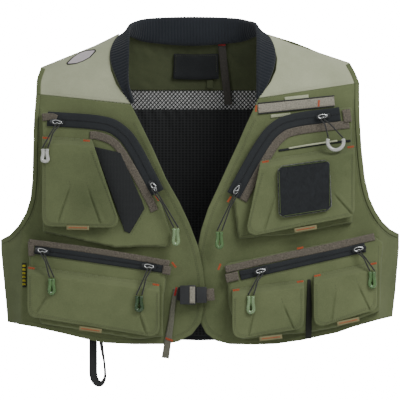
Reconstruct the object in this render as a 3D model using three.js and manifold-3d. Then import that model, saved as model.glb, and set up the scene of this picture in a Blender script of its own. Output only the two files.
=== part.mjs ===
// A short wading vest, open at the front, closed by one side-release buckle.
// Millimetres, +Z up, front facing -Y, origin at the back neck where the vest hangs.
// "Right" and "left" are the wearer's: the right side is at -X.
import * as THREE from 'three';
import { mergeVertices } from 'three/addons/utils/BufferGeometryUtils.js';
import Module from 'manifold-3d';

const wasm = await Module();
wasm.setup();

// Driving dimensions
const halfWidth = 298;          // body half width at the underarm
const hemHalfWidth = 281;       // body half width at the hem
const sideTaperTop = 290;       // distance below the shoulder where the side starts to taper
const bodyLength = 490;         // rows of the body form run this far below the shoulder
const shoulderRise = 125;       // the form reaches full depth this far below the shoulder
const neckX = -12;              // middle of the neck
const neckHalf = 102;           // half width of the flat part of the shoulder line
const neckTop = 12;             // height of the shoulder line at the neck
const neckSetback = 38;         // how far back the back of the neck lies
const facetY = -74.6;           // front facets: y = facetY + facetSlope * |x|
const facetSlope = 0.14;
const cloth = 3;                // thickness of a shell panel
const gap = 0.3;                // clearance between touching pieces
const zipPocketFace = 14;       // outer face of a zip pocket, measured out from the body form
const flapPocketFace = 27;      // outer face of a flap pocket
const flapCloth = 2.6;
const flapDrop = 12;            // a flap slopes out over this height before it hangs straight
const wall = 2.2;               // wall of a hollow pocket

const vest = new THREE.Group();

function addPiece(name, geometry, color, roughness = 0.9, metalness = 0) {
  const material = new THREE.MeshStandardMaterial({ color, roughness, metalness });
  const mesh = new THREE.Mesh(geometry, material);
  mesh.name = name;
  vest.add(mesh);
  return mesh;
}

// Solids for cutting and joining
function toSolid(geometry) {
  const bare = geometry.clone();
  bare.deleteAttribute('normal');
  bare.deleteAttribute('uv');
  const merged = mergeVertices(bare, 1e-4);
  const vertProperties = new Float32Array(merged.attributes.position.array);
  const triVerts = new Uint32Array(merged.index.array);
  const solid = new wasm.Manifold(new wasm.Mesh({ numProp: 3, vertProperties, triVerts }));
  if (solid.volume() > 0) return solid;
  triVerts.reverse();
  return new wasm.Manifold(new wasm.Mesh({ numProp: 3, vertProperties, triVerts }));
}

function toGeometry(solid) {
  const mesh = solid.getMesh();
  const points = [];
  for (let i = 0; i < mesh.numVert; i += 1) {
    const at = i * mesh.numProp;
    points.push(mesh.vertProperties[at], mesh.vertProperties[at + 1], mesh.vertProperties[at + 2]);
  }
  const geometry = new THREE.BufferGeometry();
  geometry.setAttribute('position', new THREE.Float32BufferAttribute(points, 3));
  geometry.setIndex(Array.from(mesh.triVerts));
  return geometry;
}

// The body form: a flat-fronted lens, closed along the shoulder line and down both sides.
const shoulderSlope = (x) => (x < neckX ? 0.4 : 0.33);
const shoulderZ = (x) => neckTop - shoulderSlope(x) * Math.max(0, Math.abs(x - neckX) - neckHalf);
const frontFacet = (x) => facetY + facetSlope * Math.abs(x);

function ridgeY(x) {
  const reach = Math.abs(x - neckX) / 140;
  return reach > 1 ? 0 : neckSetback * Math.cos(reach * Math.PI / 2) ** 2;
}

function formSolid(offset) {
  const rows = [0, 4, 14, 32, 60, 90, shoulderRise, sideTaperTop, bodyLength];
  const inner = [268, 150, 45, 0];
  const frontProfile = [14, 37, 53.6, 68.3, 71];
  const backProfile = [17, 34, 61, 71, 72];
  const positions = [];
  const ring = [];
  for (const t of rows) {
    const fall = Math.min(1, Math.max(0, (t - sideTaperTop) / (bodyLength - sideTaperTop)));
    const width = halfWidth + (hemHalfWidth - halfWidth) * fall;
    const columns = [width - 11, ...inner];
    const front = frontProfile.map((y, i) => [columns[i], -y - offset]);
    const back = backProfile.map((y, i) => [columns[i], y + offset]);
    const half = Math.min(1, t / shoulderRise);
    const swell = Math.sqrt(1 - (1 - half) ** 2);
    const loop = [[-width - offset, 0]];
    front.forEach(([x, y]) => loop.push([-x, y]));
    front.slice(0, -1).reverse().forEach(([x, y]) => loop.push([x, y]));
    loop.push([width + offset, 0]);
    back.forEach(([x, y]) => loop.push([x, y]));
    back.slice(0, -1).reverse().forEach(([x, y]) => loop.push([-x, y]));
    const first = positions.length / 3;
    for (const [x, y] of loop) {
      const z = shoulderZ(x) + offset - t;
      positions.push(x, ridgeY(x) * (1 - swell) + y * swell, z);
    }
    ring.push({ first, count: loop.length });
  }
  const faces = [];
  const count = ring[0].count;
  const half = (count - 2) / 2;
  const welded = (i) => (i > half + 1 ? count - i : i);
  for (let r = 0; r < ring.length - 1; r += 1) {
    for (let i = 0; i < count; i += 1) {
      const next = (i + 1) % count;
      const top = r === 0 ? welded : (k) => k;
      const a = ring[r].first + top(i);
      const b = ring[r].first + top(next);
      const c = ring[r + 1].first + i;
      const d = ring[r + 1].first + next;
      if (a !== b) faces.push(a, c, b);
      faces.push(b, c, d);
    }
  }
  const last = ring[ring.length - 1].first;
  for (let i = 0; i < half + 1; i += 1) {
    const a = last + i;
    const b = last + i + 1;
    const c = last + (count - i) % count;
    const d = last + count - i - 1;
    if (i > 0) faces.push(a, c, b);
    if (b !== d) faces.push(b, c, d);
  }
  const geometry = new THREE.BufferGeometry();
  geometry.setAttribute('position', new THREE.Float32BufferAttribute(positions, 3));
  geometry.setIndex(faces);
  return toSolid(geometry);
}

const formShell = (low, high) => formSolid(high).subtract(formSolid(low));

// Outlines are drawn in the front view: shape x is the vest's x, shape y is its z.
function outline(start, ...steps) {
  const shape = new THREE.Shape();
  shape.moveTo(...start);
  for (const step of steps) {
    if (step.length === 2) shape.lineTo(...step);
    if (step.length === 4) shape.quadraticCurveTo(...step);
  }
  shape.closePath();
  return shape;
}

// Prism of an outline between two y values, the lower one first.
function prism(shape, yLow, yHigh, curveSegments = 4) {
  const depth = yHigh - yLow;
  const geometry = new THREE.ExtrudeGeometry(shape, { depth, bevelEnabled: false, curveSegments });
  geometry.rotateX(Math.PI / 2);
  geometry.translate(0, yHigh, 0);
  return geometry;
}

// A flat layer of cloth that lies along a front facet, between two distances out from it.
function layer(shape, low, high, curveSegments = 4) {
  const geometry = prism(shape, -high, -low, curveSegments);
  const position = geometry.attributes.position;
  for (let i = 0; i < position.count; i += 1) {
    position.setY(i, position.getY(i) + frontFacet(position.getX(i)));
  }
  return geometry;
}

// Colours and finishes
const olive = 0x70775a;
const sage = 0xa1a48f;
const nearBlack = 0x1f2326;
const meshBlack = 0x212222;
const meshWhite = 0xc8cac8;
const taupe = 0x6e6a5c;
const zipGrey = 0x36393a;
const gunmetal = 0x8a8c8c;
const clearGreen = 0x829574;

// Garment shell
const shell = formShell(0, cloth);
const deep = 260;
const cut = (solid, shape, yLow, yHigh) => solid.intersect(toSolid(prism(shape, yLow, yHigh)));

const rightSeamZ = (x) => -78 - 0.11 * (x + 240);
const leftSeamZ = (x) => -84 + 0.16 * (x - 90);

const rightFront = outline([-103, rightSeamZ(-103) - gap], [-70, -162], [-31, -239],
  [3, -312, 7, -366], [8, -430, -55, -453], [-142, -452], [-249, -428], [-330, -420], [-330, -296],
  [-252, -290, -251, -214], [-247, rightSeamZ(-247) - gap]);
const leftFront = outline([88, leftSeamZ(88) - gap], [56, -155], [12, -250], [-1, -296], [8.5, -340],
  [9.5, -366], [8, -415, 45, -453], [114, -453], [207, -436], [330, -412], [330, -286],
  [262, -284, 248, -214], [238, -100], [240, leftSeamZ(240) - gap]);
addPiece('front_panel_right', toGeometry(cut(shell, rightFront, -deep, -0.15)), olive);
addPiece('front_panel_left', toGeometry(cut(shell, leftFront, -deep, -0.15)), olive);

const rightYoke = outline([-104, rightSeamZ(-104)], [-128, -62, -136, -30], [-136, -12, -122, 2],
  [-112, 40], [-240, 40], [-247, -60], [-247, rightSeamZ(-247)]);
const leftYoke = outline([88, leftSeamZ(88)], [240, leftSeamZ(240)], [236, -60], [226, 40],
  [90, 40], [100, 2], [117, -10, 116, -30], [108, -60]);
addPiece('shoulder_yoke_right', toGeometry(cut(shell, rightYoke, -deep, -0.15)), sage);
addPiece('shoulder_yoke_left', toGeometry(cut(shell, leftYoke, -deep, -0.15)), sage);

const ventTop = -70;
const ventBottom = -101;
const backYoke = outline([-244, ventTop + gap], [236, ventTop + gap], [230, -60], [222, 40],
  [90, 40], [98, 6], [-12, 4], [-122, 6], [-114, 40], [-236, 40]);
const backVent = outline([-244, ventBottom + gap], [236, ventBottom + gap], [236, ventTop],
  [-244, ventTop]);
const backPanel = outline([-244, ventBottom], [-247, -214], [-250, -286, -330, -292], [-330, -424],
  [-200, -440], [0, -452], [200, -440], [330, -416], [330, -284], [250, -280, 240, -214],
  [236, ventBottom]);
// the shoulder line's forward edge is cleared away inside the neck
const neckClear = toSolid(prism(outline([-110, -30], [86, -30], [86, 30], [-110, 30]), -30, 20));
addPiece('back_yoke', toGeometry(cut(shell, backYoke, 0.15, deep).subtract(neckClear)), olive);
addPiece('back_panel', toGeometry(cut(shell, backPanel, 0.15, deep)), olive);
addPiece('back_vent_mesh', toGeometry(cut(formShell(0.5, 2), backVent, 0.15, deep)), meshWhite);
const backLining = outline([-236, ventBottom], [-240, -290], [-240, -432], [0, -446], [240, -430],
  [232, -290], [228, ventBottom]);
addPiece('back_lining', toGeometry(cut(formShell(-2, -gap), backLining, 0.15, deep)), meshBlack);

// Ribbed collar: a band lofted between its seam edge and its free edge.
function collarBand() {
  const seam = [[-104, -58, -86], [-122, -54, -62], [-134, -41, -30], [-133, -24, -8], [-121, -6, 8],
    [-104, 14, 8], [-80, 33, 0], [-12, 43, -2], [58, 33, 0], [82, 14, 8], [99, -6, 10],
    [112, -24, -6], [113, -41, -30], [104, -54, -58], [88, -58, -84]];
  const free = [[-103, -64, -84], [-107, -64, -58], [-108, -52, -20], [-107, -34, 8], [-105, -10, 27],
    [-94, 18, 35], [-70, 37, 39], [-12, 48, 41], [48, 37, 39], [72, 18, 35], [83, -10, 29],
    [85, -34, 8], [85, -52, -20], [85, -64, -58], [87, -64, -82]];
  const toCurve = (list) => new THREE.CatmullRomCurve3(list.map((p) => new THREE.Vector3(...p)));
  const seamCurve = toCurve(seam);
  const freeCurve = toCurve(free);
  const stations = 28;
  const half = 2.2;
  const positions = [];
  for (let i = 0; i <= stations; i += 1) {
    const s = seamCurve.getPoint(i / stations);
    const f = freeCurve.getPoint(i / stations);
    const along = seamCurve.getTangent(i / stations).add(freeCurve.getTangent(i / stations));
    const thick = new THREE.Vector3().crossVectors(along, f.clone().sub(s)).setLength(half);
    for (const [edge, side] of [[s, 1], [f, 1], [f, -1], [s, -1]]) {
      positions.push(...edge.clone().addScaledVector(thick, side).toArray());
    }
  }
  const faces = [0, 1, 2, 0, 2, 3];
  for (let i = 0; i < stations; i += 1) {
    for (let k = 0; k < 4; k += 1) {
      const a = i * 4 + k;
      const b = i * 4 + (k + 1) % 4;
      faces.push(a, a + 4, b, b, a + 4, b + 4);
    }
  }
  const end = stations * 4;
  faces.push(end, end + 2, end + 1, end, end + 3, end + 2);
  const geometry = new THREE.BufferGeometry();
  geometry.setAttribute('position', new THREE.Float32BufferAttribute(positions, 3));
  geometry.setIndex(faces);
  return geometry;
}
const fullShell = formShell(-0.4, cloth + 0.4);
const yokeKeepOut = cut(fullShell, rightYoke, -deep, 0.15)
  .add(cut(fullShell, leftYoke, -deep, 0.15))
  .add(cut(fullShell, backYoke, -0.15, deep))
  .add(cut(fullShell, rightFront, -deep, 0.15))
  .add(cut(fullShell, leftFront, -deep, 0.15));
const largestOf = (solid) => solid.decompose().sort((a, b) => b.volume() - a.volume())[0];
const collar = toSolid(collarBand());
addPiece('rib_collar', toGeometry(largestOf(collar.subtract(yokeKeepOut))), nearBlack);

// Tape that hangs inside the back neck
const tape = outline([27, -6], [39, -6], [50, -94], [38, -94]);
addPiece('neck_tape', toGeometry(cut(formShell(-4, -2.4), tape, 0.15, deep)), taupe);

// Zip pockets, solid pads whose backs follow the body form
const formKeepOut = formSolid(cloth + gap);
function zipPocket(name, shape) {
  const pad = toSolid(layer(shape, -8, zipPocketFace));
  addPiece(name, toGeometry(pad.subtract(formKeepOut)), olive);
}
zipPocket('chest_zip_pocket_right', outline([-238, -104], [-167, -108], [-105, -118, -84, -172],
  [-62, -221], [-40, -290], [-46, -309], [-128, -311], [-238, -286]));
zipPocket('chest_zip_pocket_left', outline([230, -96], [141, -105], [98, -116, 68, -180],
  [46, -226], [56, -296], [134, -292], [231, -272]));
zipPocket('lower_zip_pocket_right', outline([-259, -296], [-108, -317], [-44, -326], [-52, -380],
  [-54, -442], [-90, -448], [-240, -424], [-258, -380]));
zipPocket('lower_zip_pocket_left', outline([36, -331], [256, -286], [276, -300], [272, -404],
  [207, -430], [160, -438], [60, -447], [42, -400]));

// Zip tapes: ribbons along a curve
function ribbon(points, width) {
  const curve = new THREE.CatmullRomCurve3(points.map(([x, z]) => new THREE.Vector3(x, z, 0)));
  const steps = points.length * 2;
  const near = [];
  const far = [];
  for (let i = 0; i <= steps; i += 1) {
    const p = curve.getPoint(i / steps);
    const t = curve.getTangent(i / steps);
    near.push(new THREE.Vector2(p.x - t.y * width / 2, p.y + t.x * width / 2));
    far.unshift(new THREE.Vector2(p.x + t.y * width / 2, p.y - t.x * width / 2));
  }
  return new THREE.Shape([...near, ...far]);
}
const tapeLow = zipPocketFace + gap;
const tapeHigh = tapeLow + 1.2;
const zips = [
  { name: 'zip_tape_chest_right', width: 15,
    path: [[-228, -119], [-150, -125.5], [-122, -137], [-100, -163], [-64, -226]] },
  { name: 'zip_tape_chest_left', width: 15,
    path: [[210, -108], [142, -117.5], [112, -131], [88, -162], [50, -230]] },
  { name: 'zip_tape_lower_right', width: 14, path: [[-248, -311], [-152, -325], [-56, -339]] },
  { name: 'zip_tape_lower_left', width: 14, path: [[60, -350], [152, -329.5], [248, -308]] },
];
for (const zip of zips) {
  addPiece(zip.name, layer(ribbon(zip.path, zip.width), tapeLow, tapeHigh), zipGrey);
}

// Flap pockets: a hollow body, open along its top, and a flap hinged above the mouth.
// The hinge line runs from (x0, z0) to (x1, z1); the sloped top of the flap hangs from it.
function slopedBar(hinge, section) {
  const [x0, z0, x1, z1] = hinge;
  const positions = [];
  for (const [x, z] of [[x0, z0], [x1, z1]]) {
    for (const [out, down] of section) {
      positions.push(x, frontFacet(x) - out, z - down);
    }
  }
  const n = section.length;
  const faces = [];
  for (let i = 1; i < n - 1; i += 1) {
    faces.push(0, i, i + 1, n, n + i + 1, n + i);
  }
  for (let i = 0; i < n; i += 1) {
    const j = (i + 1) % n;
    faces.push(i, n + i, j, j, n + i, n + j);
  }
  const geometry = new THREE.BufferGeometry();
  geometry.setAttribute('position', new THREE.Float32BufferAttribute(positions, 3));
  geometry.setIndex(faces);
  return toSolid(geometry);
}

function flapPocket(spec) {
  const { side, x0, z0, x1, z1, bottom, corner, taper = [0, 0] } = spec;
  const [topLeft, topRight] = [x0 + taper[0], x1 - taper[1]];
  const inset = 3;
  const face = flapPocketFace;
  const lineZ = (x, drop) => z0 + (z1 - z0) * (x - x0) / (x1 - x0) - drop;
  const pouch = (edge, top) => outline([topLeft + edge, lineZ(topLeft + edge, top)],
    [x0 + edge, bottom[0] + edge + corner],
    [x0 + edge, bottom[0] + edge, x0 + edge + corner, bottom[0] + edge],
    [x1 - edge - corner, bottom[1] + edge],
    [x1 - edge, bottom[1] + edge, x1 - edge, bottom[1] + edge + corner],
    [topRight - edge, lineZ(topRight - edge, top)]);
  const wide = [x0 - 20, lineZ(x0 - 20, 0), x1 + 20, lineZ(x1 + 20, 0)];
  const body = toSolid(layer(pouch(inset, 0), tapeLow, face - 0.4));
  const hollow = toSolid(layer(pouch(inset + wall, -6), tapeLow + wall, face - 0.4 - wall));
  const mouthCut = slopedBar(wide, [[tapeLow - 1, 2.66], [tapeLow - 1, -60], [60, -60],
    [60, flapDrop + 3.6], [face, flapDrop + 3.6]]);
  addPiece(`${side}_pocket`, toGeometry(body.subtract(hollow).subtract(mouthCut)), olive);
  const slope = slopedBar(wide, [[tapeLow, 0], [tapeLow, 3], [face, flapDrop + 3],
    [face + flapCloth, flapDrop + 3], [face + flapCloth, flapDrop]]);
  const sheet = toSolid(layer(pouch(0, -6), face, face + flapCloth));
  const aboveSlope = slopedBar(wide, [[-60, -60], [60, -60], [60, flapDrop], [-60, flapDrop]]);
  const flap = sheet.subtract(aboveSlope).add(slope)
    .intersect(toSolid(layer(pouch(0, -6), 0, face + 2 * flapCloth)));
  addPiece(`${side}_flap`, toGeometry(flap), olive);
}
const flapPockets = [
  { side: 'chest_right', x0: -237, z0: -140, x1: -122, z1: -148, bottom: [-277, -279],
    taper: [0, 42], corner: 14 },
  { side: 'chest_left', x0: 70, z0: -181, x1: 232, z1: -153, bottom: [-290, -264],
    taper: [22, 0], corner: 14 },
  { side: 'cargo_right', x0: -259, z0: -335, x1: -60, z1: -361, bottom: [-414, -441], corner: 16 },
  { side: 'cargo_inner_left', x0: 48, z0: -369, x1: 156, z1: -355, bottom: [-444, -432], corner: 16 },
  { side: 'cargo_outer_left', x0: 170, z0: -348, x1: 266, z1: -328, bottom: [-426, -405], corner: 14 },
];
flapPockets.forEach(flapPocket);

// Black stretch panel beside the right chest flap pocket, and the fleece fly patch
addPiece('stretch_panel', layer(outline([-159, -157], [-119, -166], [-87, -238],
  [-83, -250], [-105, -287], [-113, -284]), tapeLow, tapeLow + 1.5), nearBlack);
addPiece('fly_patch', layer(outline([122, -186], [116, -193], [118, -258], [126, -263], [190, -253],
  [197, -246], [194, -182], [187, -177]), flapPocketFace + flapCloth + gap,
flapPocketFace + flapCloth + 8.5), nearBlack);

// Sliders, pull cords and moulded tube grips
const cordRadius = 1;
const gripRadius = 2.9;
const outY = (x, out) => frontFacet(x) - out;

function slider(name, x, z, angle) {
  const body = outline([-7, -4.5], [7, -3.4], [7, 3.4], [-7, 4.5]);
  const tab = outline([-10, -3], [2, -5.5, 10, -3], [12, 0, 10, 3], [2, 5.5, -10, 3], [-12, 0, -10, -3]);
  const solid = toSolid(prism(body, -4, -gap)).add(toSolid(prism(tab, -5.4, -3.9)));
  const geometry = toGeometry(solid);
  geometry.rotateY(-angle);
  geometry.rotateZ(Math.atan(facetSlope) * Math.sign(x));
  geometry.translate(x, outY(x, tapeHigh), z);
  addPiece(name, geometry, gunmetal, 0.35, 0.9);
}

function tube(points, radius, steps) {
  const path = new THREE.CatmullRomCurve3(points.map((p) => new THREE.Vector3(...p)));
  const section = new THREE.Shape();
  const sides = 8;
  for (let i = 0; i < sides; i += 1) {
    const a = (i / sides) * Math.PI * 2;
    const place = [radius * Math.cos(a), radius * Math.sin(a)];
    if (i === 0) section.moveTo(...place);
    else section.lineTo(...place);
  }
  section.closePath();
  return new THREE.ExtrudeGeometry(section, { steps, bevelEnabled: false, extrudePath: path });
}

// A pull: one cord loop from the slider's eye down to a U-shaped tube grip.
// The cord starts in front of the slider tab, out at eyeOut, and the grip hangs at gripOut.
function pull(name, spec) {
  const { x, z, gripX, gripZ, gripOut, legs, drop } = spec;
  const eyeOut = tapeHigh + 6.5 + cordRadius;
  const mid = (a, b, f) => a + (b - a) * f;
  const legTop = gripZ;
  const cordEnd = gripZ + 1;
  const leg = (s, f, out) => [mid(x, gripX + s * legs, f), outY(mid(x, gripX, f), out),
    mid(z, cordEnd, f)];
  const outAt = (f) => mid(eyeOut, gripOut, Math.min(1, f * 2));
  const left = [-1, 1].map((s) => [leg(s, 1, gripOut), leg(s, 0.7, outAt(0.7)), leg(s, 0.4, outAt(0.4))]);
  const top = [[x - 2.6, outY(x, eyeOut), z - 5], [x, outY(x, eyeOut), z - 2],
    [x + 2.6, outY(x, eyeOut), z - 5]];
  const cord = [...left[0], ...top, ...left[1].reverse()];
  addPiece(`${name}_cord`, tube(cord, cordRadius, 20), nearBlack);
  const y = outY(gripX, gripOut);
  const grip = [[gripX - legs, y, legTop - gap], [gripX - legs - 0.6, y, legTop - drop * 0.45],
    [gripX - legs * 0.8, y, legTop - drop * 0.85], [gripX, y, legTop - drop + gripRadius],
    [gripX + legs * 0.8, y, legTop - drop * 0.85], [gripX + legs + 0.6, y, legTop - drop * 0.45],
    [gripX + legs, y, legTop - gap]];
  addPiece(`${name}_grip`, tube(grip, gripRadius, 14), clearGreen, 0.25);
}
const overFlap = flapPocketFace + flapCloth + gripRadius + 1.2;
const overZip = tapeHigh + 5 + gripRadius;
const pulls = [
  { name: 'chest_right_upper', x: -214, z: -120.2, slope: -0.083, gripX: -232, gripZ: -160,
    gripOut: overFlap, legs: 4, drop: 22 },
  { name: 'chest_right_lower', x: -69, z: -217.5, slope: -1.75, gripX: -36, gripZ: -279,
    gripOut: overZip, legs: 3.4, drop: 27 },
  { name: 'chest_left_upper', x: 184, z: -111.6, slope: 0.14, gripX: 203, gripZ: -145,
    gripOut: overFlap, legs: 11, drop: 24 },
  { name: 'chest_left_lower', x: 55, z: -221.5, slope: 1.79, gripX: 29, gripZ: -284,
    gripOut: overZip, legs: 3.6, drop: 27 },
  { name: 'lower_right_outer', x: -236, z: -312.8, slope: -0.146, gripX: -222, gripZ: -354,
    gripOut: overFlap, legs: 3.4, drop: 26 },
  { name: 'lower_right_inner', x: -76, z: -336.1, slope: -0.146, gripX: -91, gripZ: -380,
    gripOut: overFlap, legs: 4.2, drop: 25 },
  { name: 'lower_left_inner', x: 91, z: -343.1, slope: 0.23, gripX: 76, gripZ: -380,
    gripOut: overFlap, legs: 4, drop: 28 },
  { name: 'lower_left_outer', x: 238, z: -310.3, slope: 0.23, gripX: 258, gripZ: -344,
    gripOut: overFlap, legs: 3.6, drop: 26 },
];
for (const spec of pulls) {
  slider(`${spec.name}_slider`, spec.x, spec.z, Math.atan(spec.slope));
  pull(spec.name, spec);
}

// Net loop of black webbing below the right hem, with a slot that a net's clip passes through
const loopShape = outline([-167, -438], [-167, -496], [-167, -515, -154, -515],
  [-141, -515, -141, -496], [-141, -438]);
loopShape.holes.push(outline([-158.5, -450], [-158.5, -495], [-158, -504, -154, -504],
  [-150, -504, -150, -495], [-150, -450]));
addPiece('net_loop', prism(loopShape, -50, -46), nearBlack);

// Loose end of the taupe strap beside the right cargo pocket
const strapOut = 3.6;
addPiece('strap_tail', layer(outline([-44, -368], [-33, -368], [-40, -420], [-44, -468], [-50, -476],
  [-54, -470], [-50.5, -420]), strapOut, strapOut + 2), taupe);

// Side-release buckle between the fronts: the plug and its two latches pull out along +X.
const buckle = { left: -30, right: 10, middle: -379, height: 28, back: -76.5, front: -88.5 };
const block = (x0, x1, z0, z1, y0, y1) => {
  const box = new THREE.BoxGeometry(x1 - x0, y1 - y0, z1 - z0);
  box.translate((x0 + x1) / 2, (y0 + y1) / 2, (z0 + z1) / 2);
  return toSolid(box);
};
const low = buckle.middle - buckle.height / 2;
const high = buckle.middle + buckle.height / 2;
const plate = 2.4;
const socketEnd = -6;
const socket = block(buckle.left, socketEnd, low, high, buckle.front, buckle.back)
  .subtract(block(-21, 0, low - 5, high + 5, buckle.front + plate, buckle.back - plate));
const plug = block(socketEnd + gap, buckle.right, low + 2, high - 2, buckle.front, buckle.back)
  .add(block(-20, 0, buckle.middle - 5, buckle.middle + 5, buckle.front + plate + gap,
    buckle.back - plate - gap));
addPiece('buckle_socket', toGeometry(socket), nearBlack, 0.5);
addPiece('buckle_plug', toGeometry(plug), nearBlack, 0.5);
for (const [name, side] of [['buckle_latch_upper', 1], ['buckle_latch_lower', -1]]) {
  const inner = buckle.middle + side * 8;
  const outer = buckle.middle + side * 14.5;
  const latch = block(-19, socketEnd - 1, Math.min(inner, outer), Math.max(inner, outer),
    buckle.front + plate + gap, buckle.back - plate - gap);
  addPiece(name, toGeometry(latch), nearBlack, 0.5);
}

export default vest;
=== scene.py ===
import bpy
import bmesh
import math
import numpy as np
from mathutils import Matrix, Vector
from mathutils.bvhtree import BVHTree


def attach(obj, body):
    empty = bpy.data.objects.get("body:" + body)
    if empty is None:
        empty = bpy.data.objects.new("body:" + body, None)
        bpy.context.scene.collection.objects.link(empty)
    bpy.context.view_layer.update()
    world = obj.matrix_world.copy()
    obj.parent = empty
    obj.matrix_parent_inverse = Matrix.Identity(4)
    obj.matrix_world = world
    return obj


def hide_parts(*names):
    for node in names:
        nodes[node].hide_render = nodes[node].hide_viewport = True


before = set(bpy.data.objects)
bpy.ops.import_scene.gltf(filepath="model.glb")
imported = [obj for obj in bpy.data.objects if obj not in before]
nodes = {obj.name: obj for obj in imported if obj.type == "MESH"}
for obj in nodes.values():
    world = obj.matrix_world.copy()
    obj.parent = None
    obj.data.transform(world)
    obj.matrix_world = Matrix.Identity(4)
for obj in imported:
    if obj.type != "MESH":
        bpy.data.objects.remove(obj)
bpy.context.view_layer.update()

mm = 0.001
rng = np.random.default_rng(7)
print("vest: frame loaded")

view = dict(distance=9.0, nearPlane=0.06, centreZ=-0.237, centreX=0.0, frameWidth=0.600)
cameraData = bpy.data.cameras.new("viewCamera")
cameraData.sensor_width = 36.0
cameraData.lens = 36.0 * (view["distance"] - view["nearPlane"]) / view["frameWidth"]
camera = bpy.data.objects.new("viewCamera", cameraData)
camera.location = (view["centreX"], -view["distance"], view["centreZ"])
camera.rotation_euler = (math.radians(90), 0, 0)
bpy.context.scene.collection.objects.link(camera)
bpy.context.scene.camera = camera


# Pull cords: one loop from grip leg, up through the slider's eye, and down to the other leg.
layers = dict(pocket=14.0, flap=27, flapCloth=2.6, tape=15.5, slider=5, gripRadius=2.9, air=1.2)
overFlapOut = layers["flap"] + layers["flapCloth"] + layers["gripRadius"] + layers["air"]
overZipOut = layers["tape"] + layers["slider"] + layers["gripRadius"]
cordSettings = dict(radius=1.05, eyeOut=7.5, cordLift=1.0, eyeHalf=2.6, eyeTop=2, eyeFoot=5)
pullTable = dict(
    chest_right_upper=dict(slope=-0.083, x=-214, z=-120.2, gripX=-232, gripZ=-160, out=overFlapOut,
                           legs=4, drop=22, tint="clear"),
    chest_right_lower=dict(slope=-1.75, x=-69, z=-217.5, gripX=-36, gripZ=-279, out=overZipOut,
                           legs=3.4, drop=27, tint="pale"),
    chest_left_upper=dict(slope=0.14, x=184, z=-111.6, gripX=203, gripZ=-145, out=overFlapOut,
                          legs=11, drop=24, ring=12, tint="clear"),
    chest_left_lower=dict(slope=1.79, x=55, z=-221.5, gripX=29, gripZ=-284, out=overZipOut,
                          legs=3.6, drop=27, tint="green"),
    lower_right_outer=dict(slope=-0.146, x=-236, z=-312.8, gripX=-222, gripZ=-354, out=overFlapOut,
                           legs=3.4, drop=26, tint="green"),
    lower_right_inner=dict(slope=-0.146, x=-76, z=-336.1, gripX=-91, gripZ=-380, out=overFlapOut,
                           legs=4.2, drop=25, tint="deep"),
    lower_left_inner=dict(slope=0.23, x=91, z=-343.1, gripX=76, gripZ=-380, out=overFlapOut,
                          legs=4, drop=28, tint="pale"),
    lower_left_outer=dict(slope=0.23, x=238, z=-310.3, gripX=258, gripZ=-344, out=overFlapOut,
                          legs=3.6, drop=26, tint="green"),
)


def facetPlane(x, out):
    # a front facet: y falls towards the middle of the vest, then steps out by the given distance
    return -74.6 + 0.14 * np.abs(x) - out


def cordRoute(p):
    # the loop's route points in millimetres, the same as the CAD cord's
    c = cordSettings
    eyeOut = layers["tape"] + c["eyeOut"]

    def leg(side, f):
        x = p["x"] + (p["gripX"] + side * p["legs"] - p["x"]) * f
        onLine = p["x"] + (p["gripX"] - p["x"]) * f
        out = eyeOut + (p["out"] - eyeOut) * min(1, 2 * f)
        if f == 1:
            out = p["out"]
        return (x, facetPlane(onLine, out), p["z"] + (p["gripZ"] + c["cordLift"] - p["z"]) * f)
    eyeY = facetPlane(p["x"], eyeOut)
    top = [(p["x"] - c["eyeHalf"], eyeY, p["z"] - c["eyeFoot"]), (p["x"], eyeY, p["z"] - c["eyeTop"]),
           (p["x"] + c["eyeHalf"], eyeY, p["z"] - c["eyeFoot"])]
    left = [leg(-1, f) for f in (1, 0.7, 0.4)]
    right = [leg(1, f) for f in (0.4, 0.7, 1)]
    return np.array(left + top + right)


def splineThrough(points, perSpan):
    # centripetal Catmull-Rom curve through the points, as one array of places
    p = np.asarray(points, float)
    first = 2 * p[0] - p[1]
    last = 2 * p[-1] - p[-2]
    q = np.vstack([first, p, last])
    f = np.linspace(0, 1, perSpan, endpoint=False)[:, None]
    spans = []
    for i in range(len(p) - 1):
        a, b, c, d = q[i], q[i + 1], q[i + 2], q[i + 3]
        spans.append(0.5 * ((2 * b) + (c - a) * f + (2 * a - 5 * b + 4 * c - d) * f ** 2
                            + (3 * b - a - 3 * c + d) * f ** 3))
    return np.vstack(spans + [p[-1:]])


def pathLength(points):
    return float(np.linalg.norm(np.diff(points, axis=0), axis=1).sum())


def addMesh(name, verts, faces, material=None, smooth=True, uv=None):
    mesh = bpy.data.meshes.new(name)
    mesh.from_pydata([tuple(v) for v in np.asarray(verts, float)], [], [tuple(f) for f in faces])
    if uv is not None:
        layer = mesh.uv_layers.new(name="flat")
        loops = np.zeros(len(mesh.loops), np.int32)
        mesh.loops.foreach_get("vertex_index", loops)
        layer.data.foreach_set("uv", np.asarray(uv, np.float32)[loops].ravel())
    if smooth:
        mesh.polygons.foreach_set("use_smooth", [True] * len(mesh.polygons))
    obj = bpy.data.objects.new(name, mesh)
    bpy.context.scene.collection.objects.link(obj)
    if material:
        mesh.materials.append(material)
    return obj


def gridFaces(rows, columns, wrapColumns=False):
    # quads between neighbouring rows and columns of a grid of points
    r = np.arange(rows - 1)[:, None]
    c = np.arange(columns if wrapColumns else columns - 1)[None, :]
    n = (c + 1) % columns
    a = r * columns + c
    b = r * columns + n
    return np.stack([a, b, b + columns, a + columns], axis=-1).reshape(-1, 4)


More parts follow.
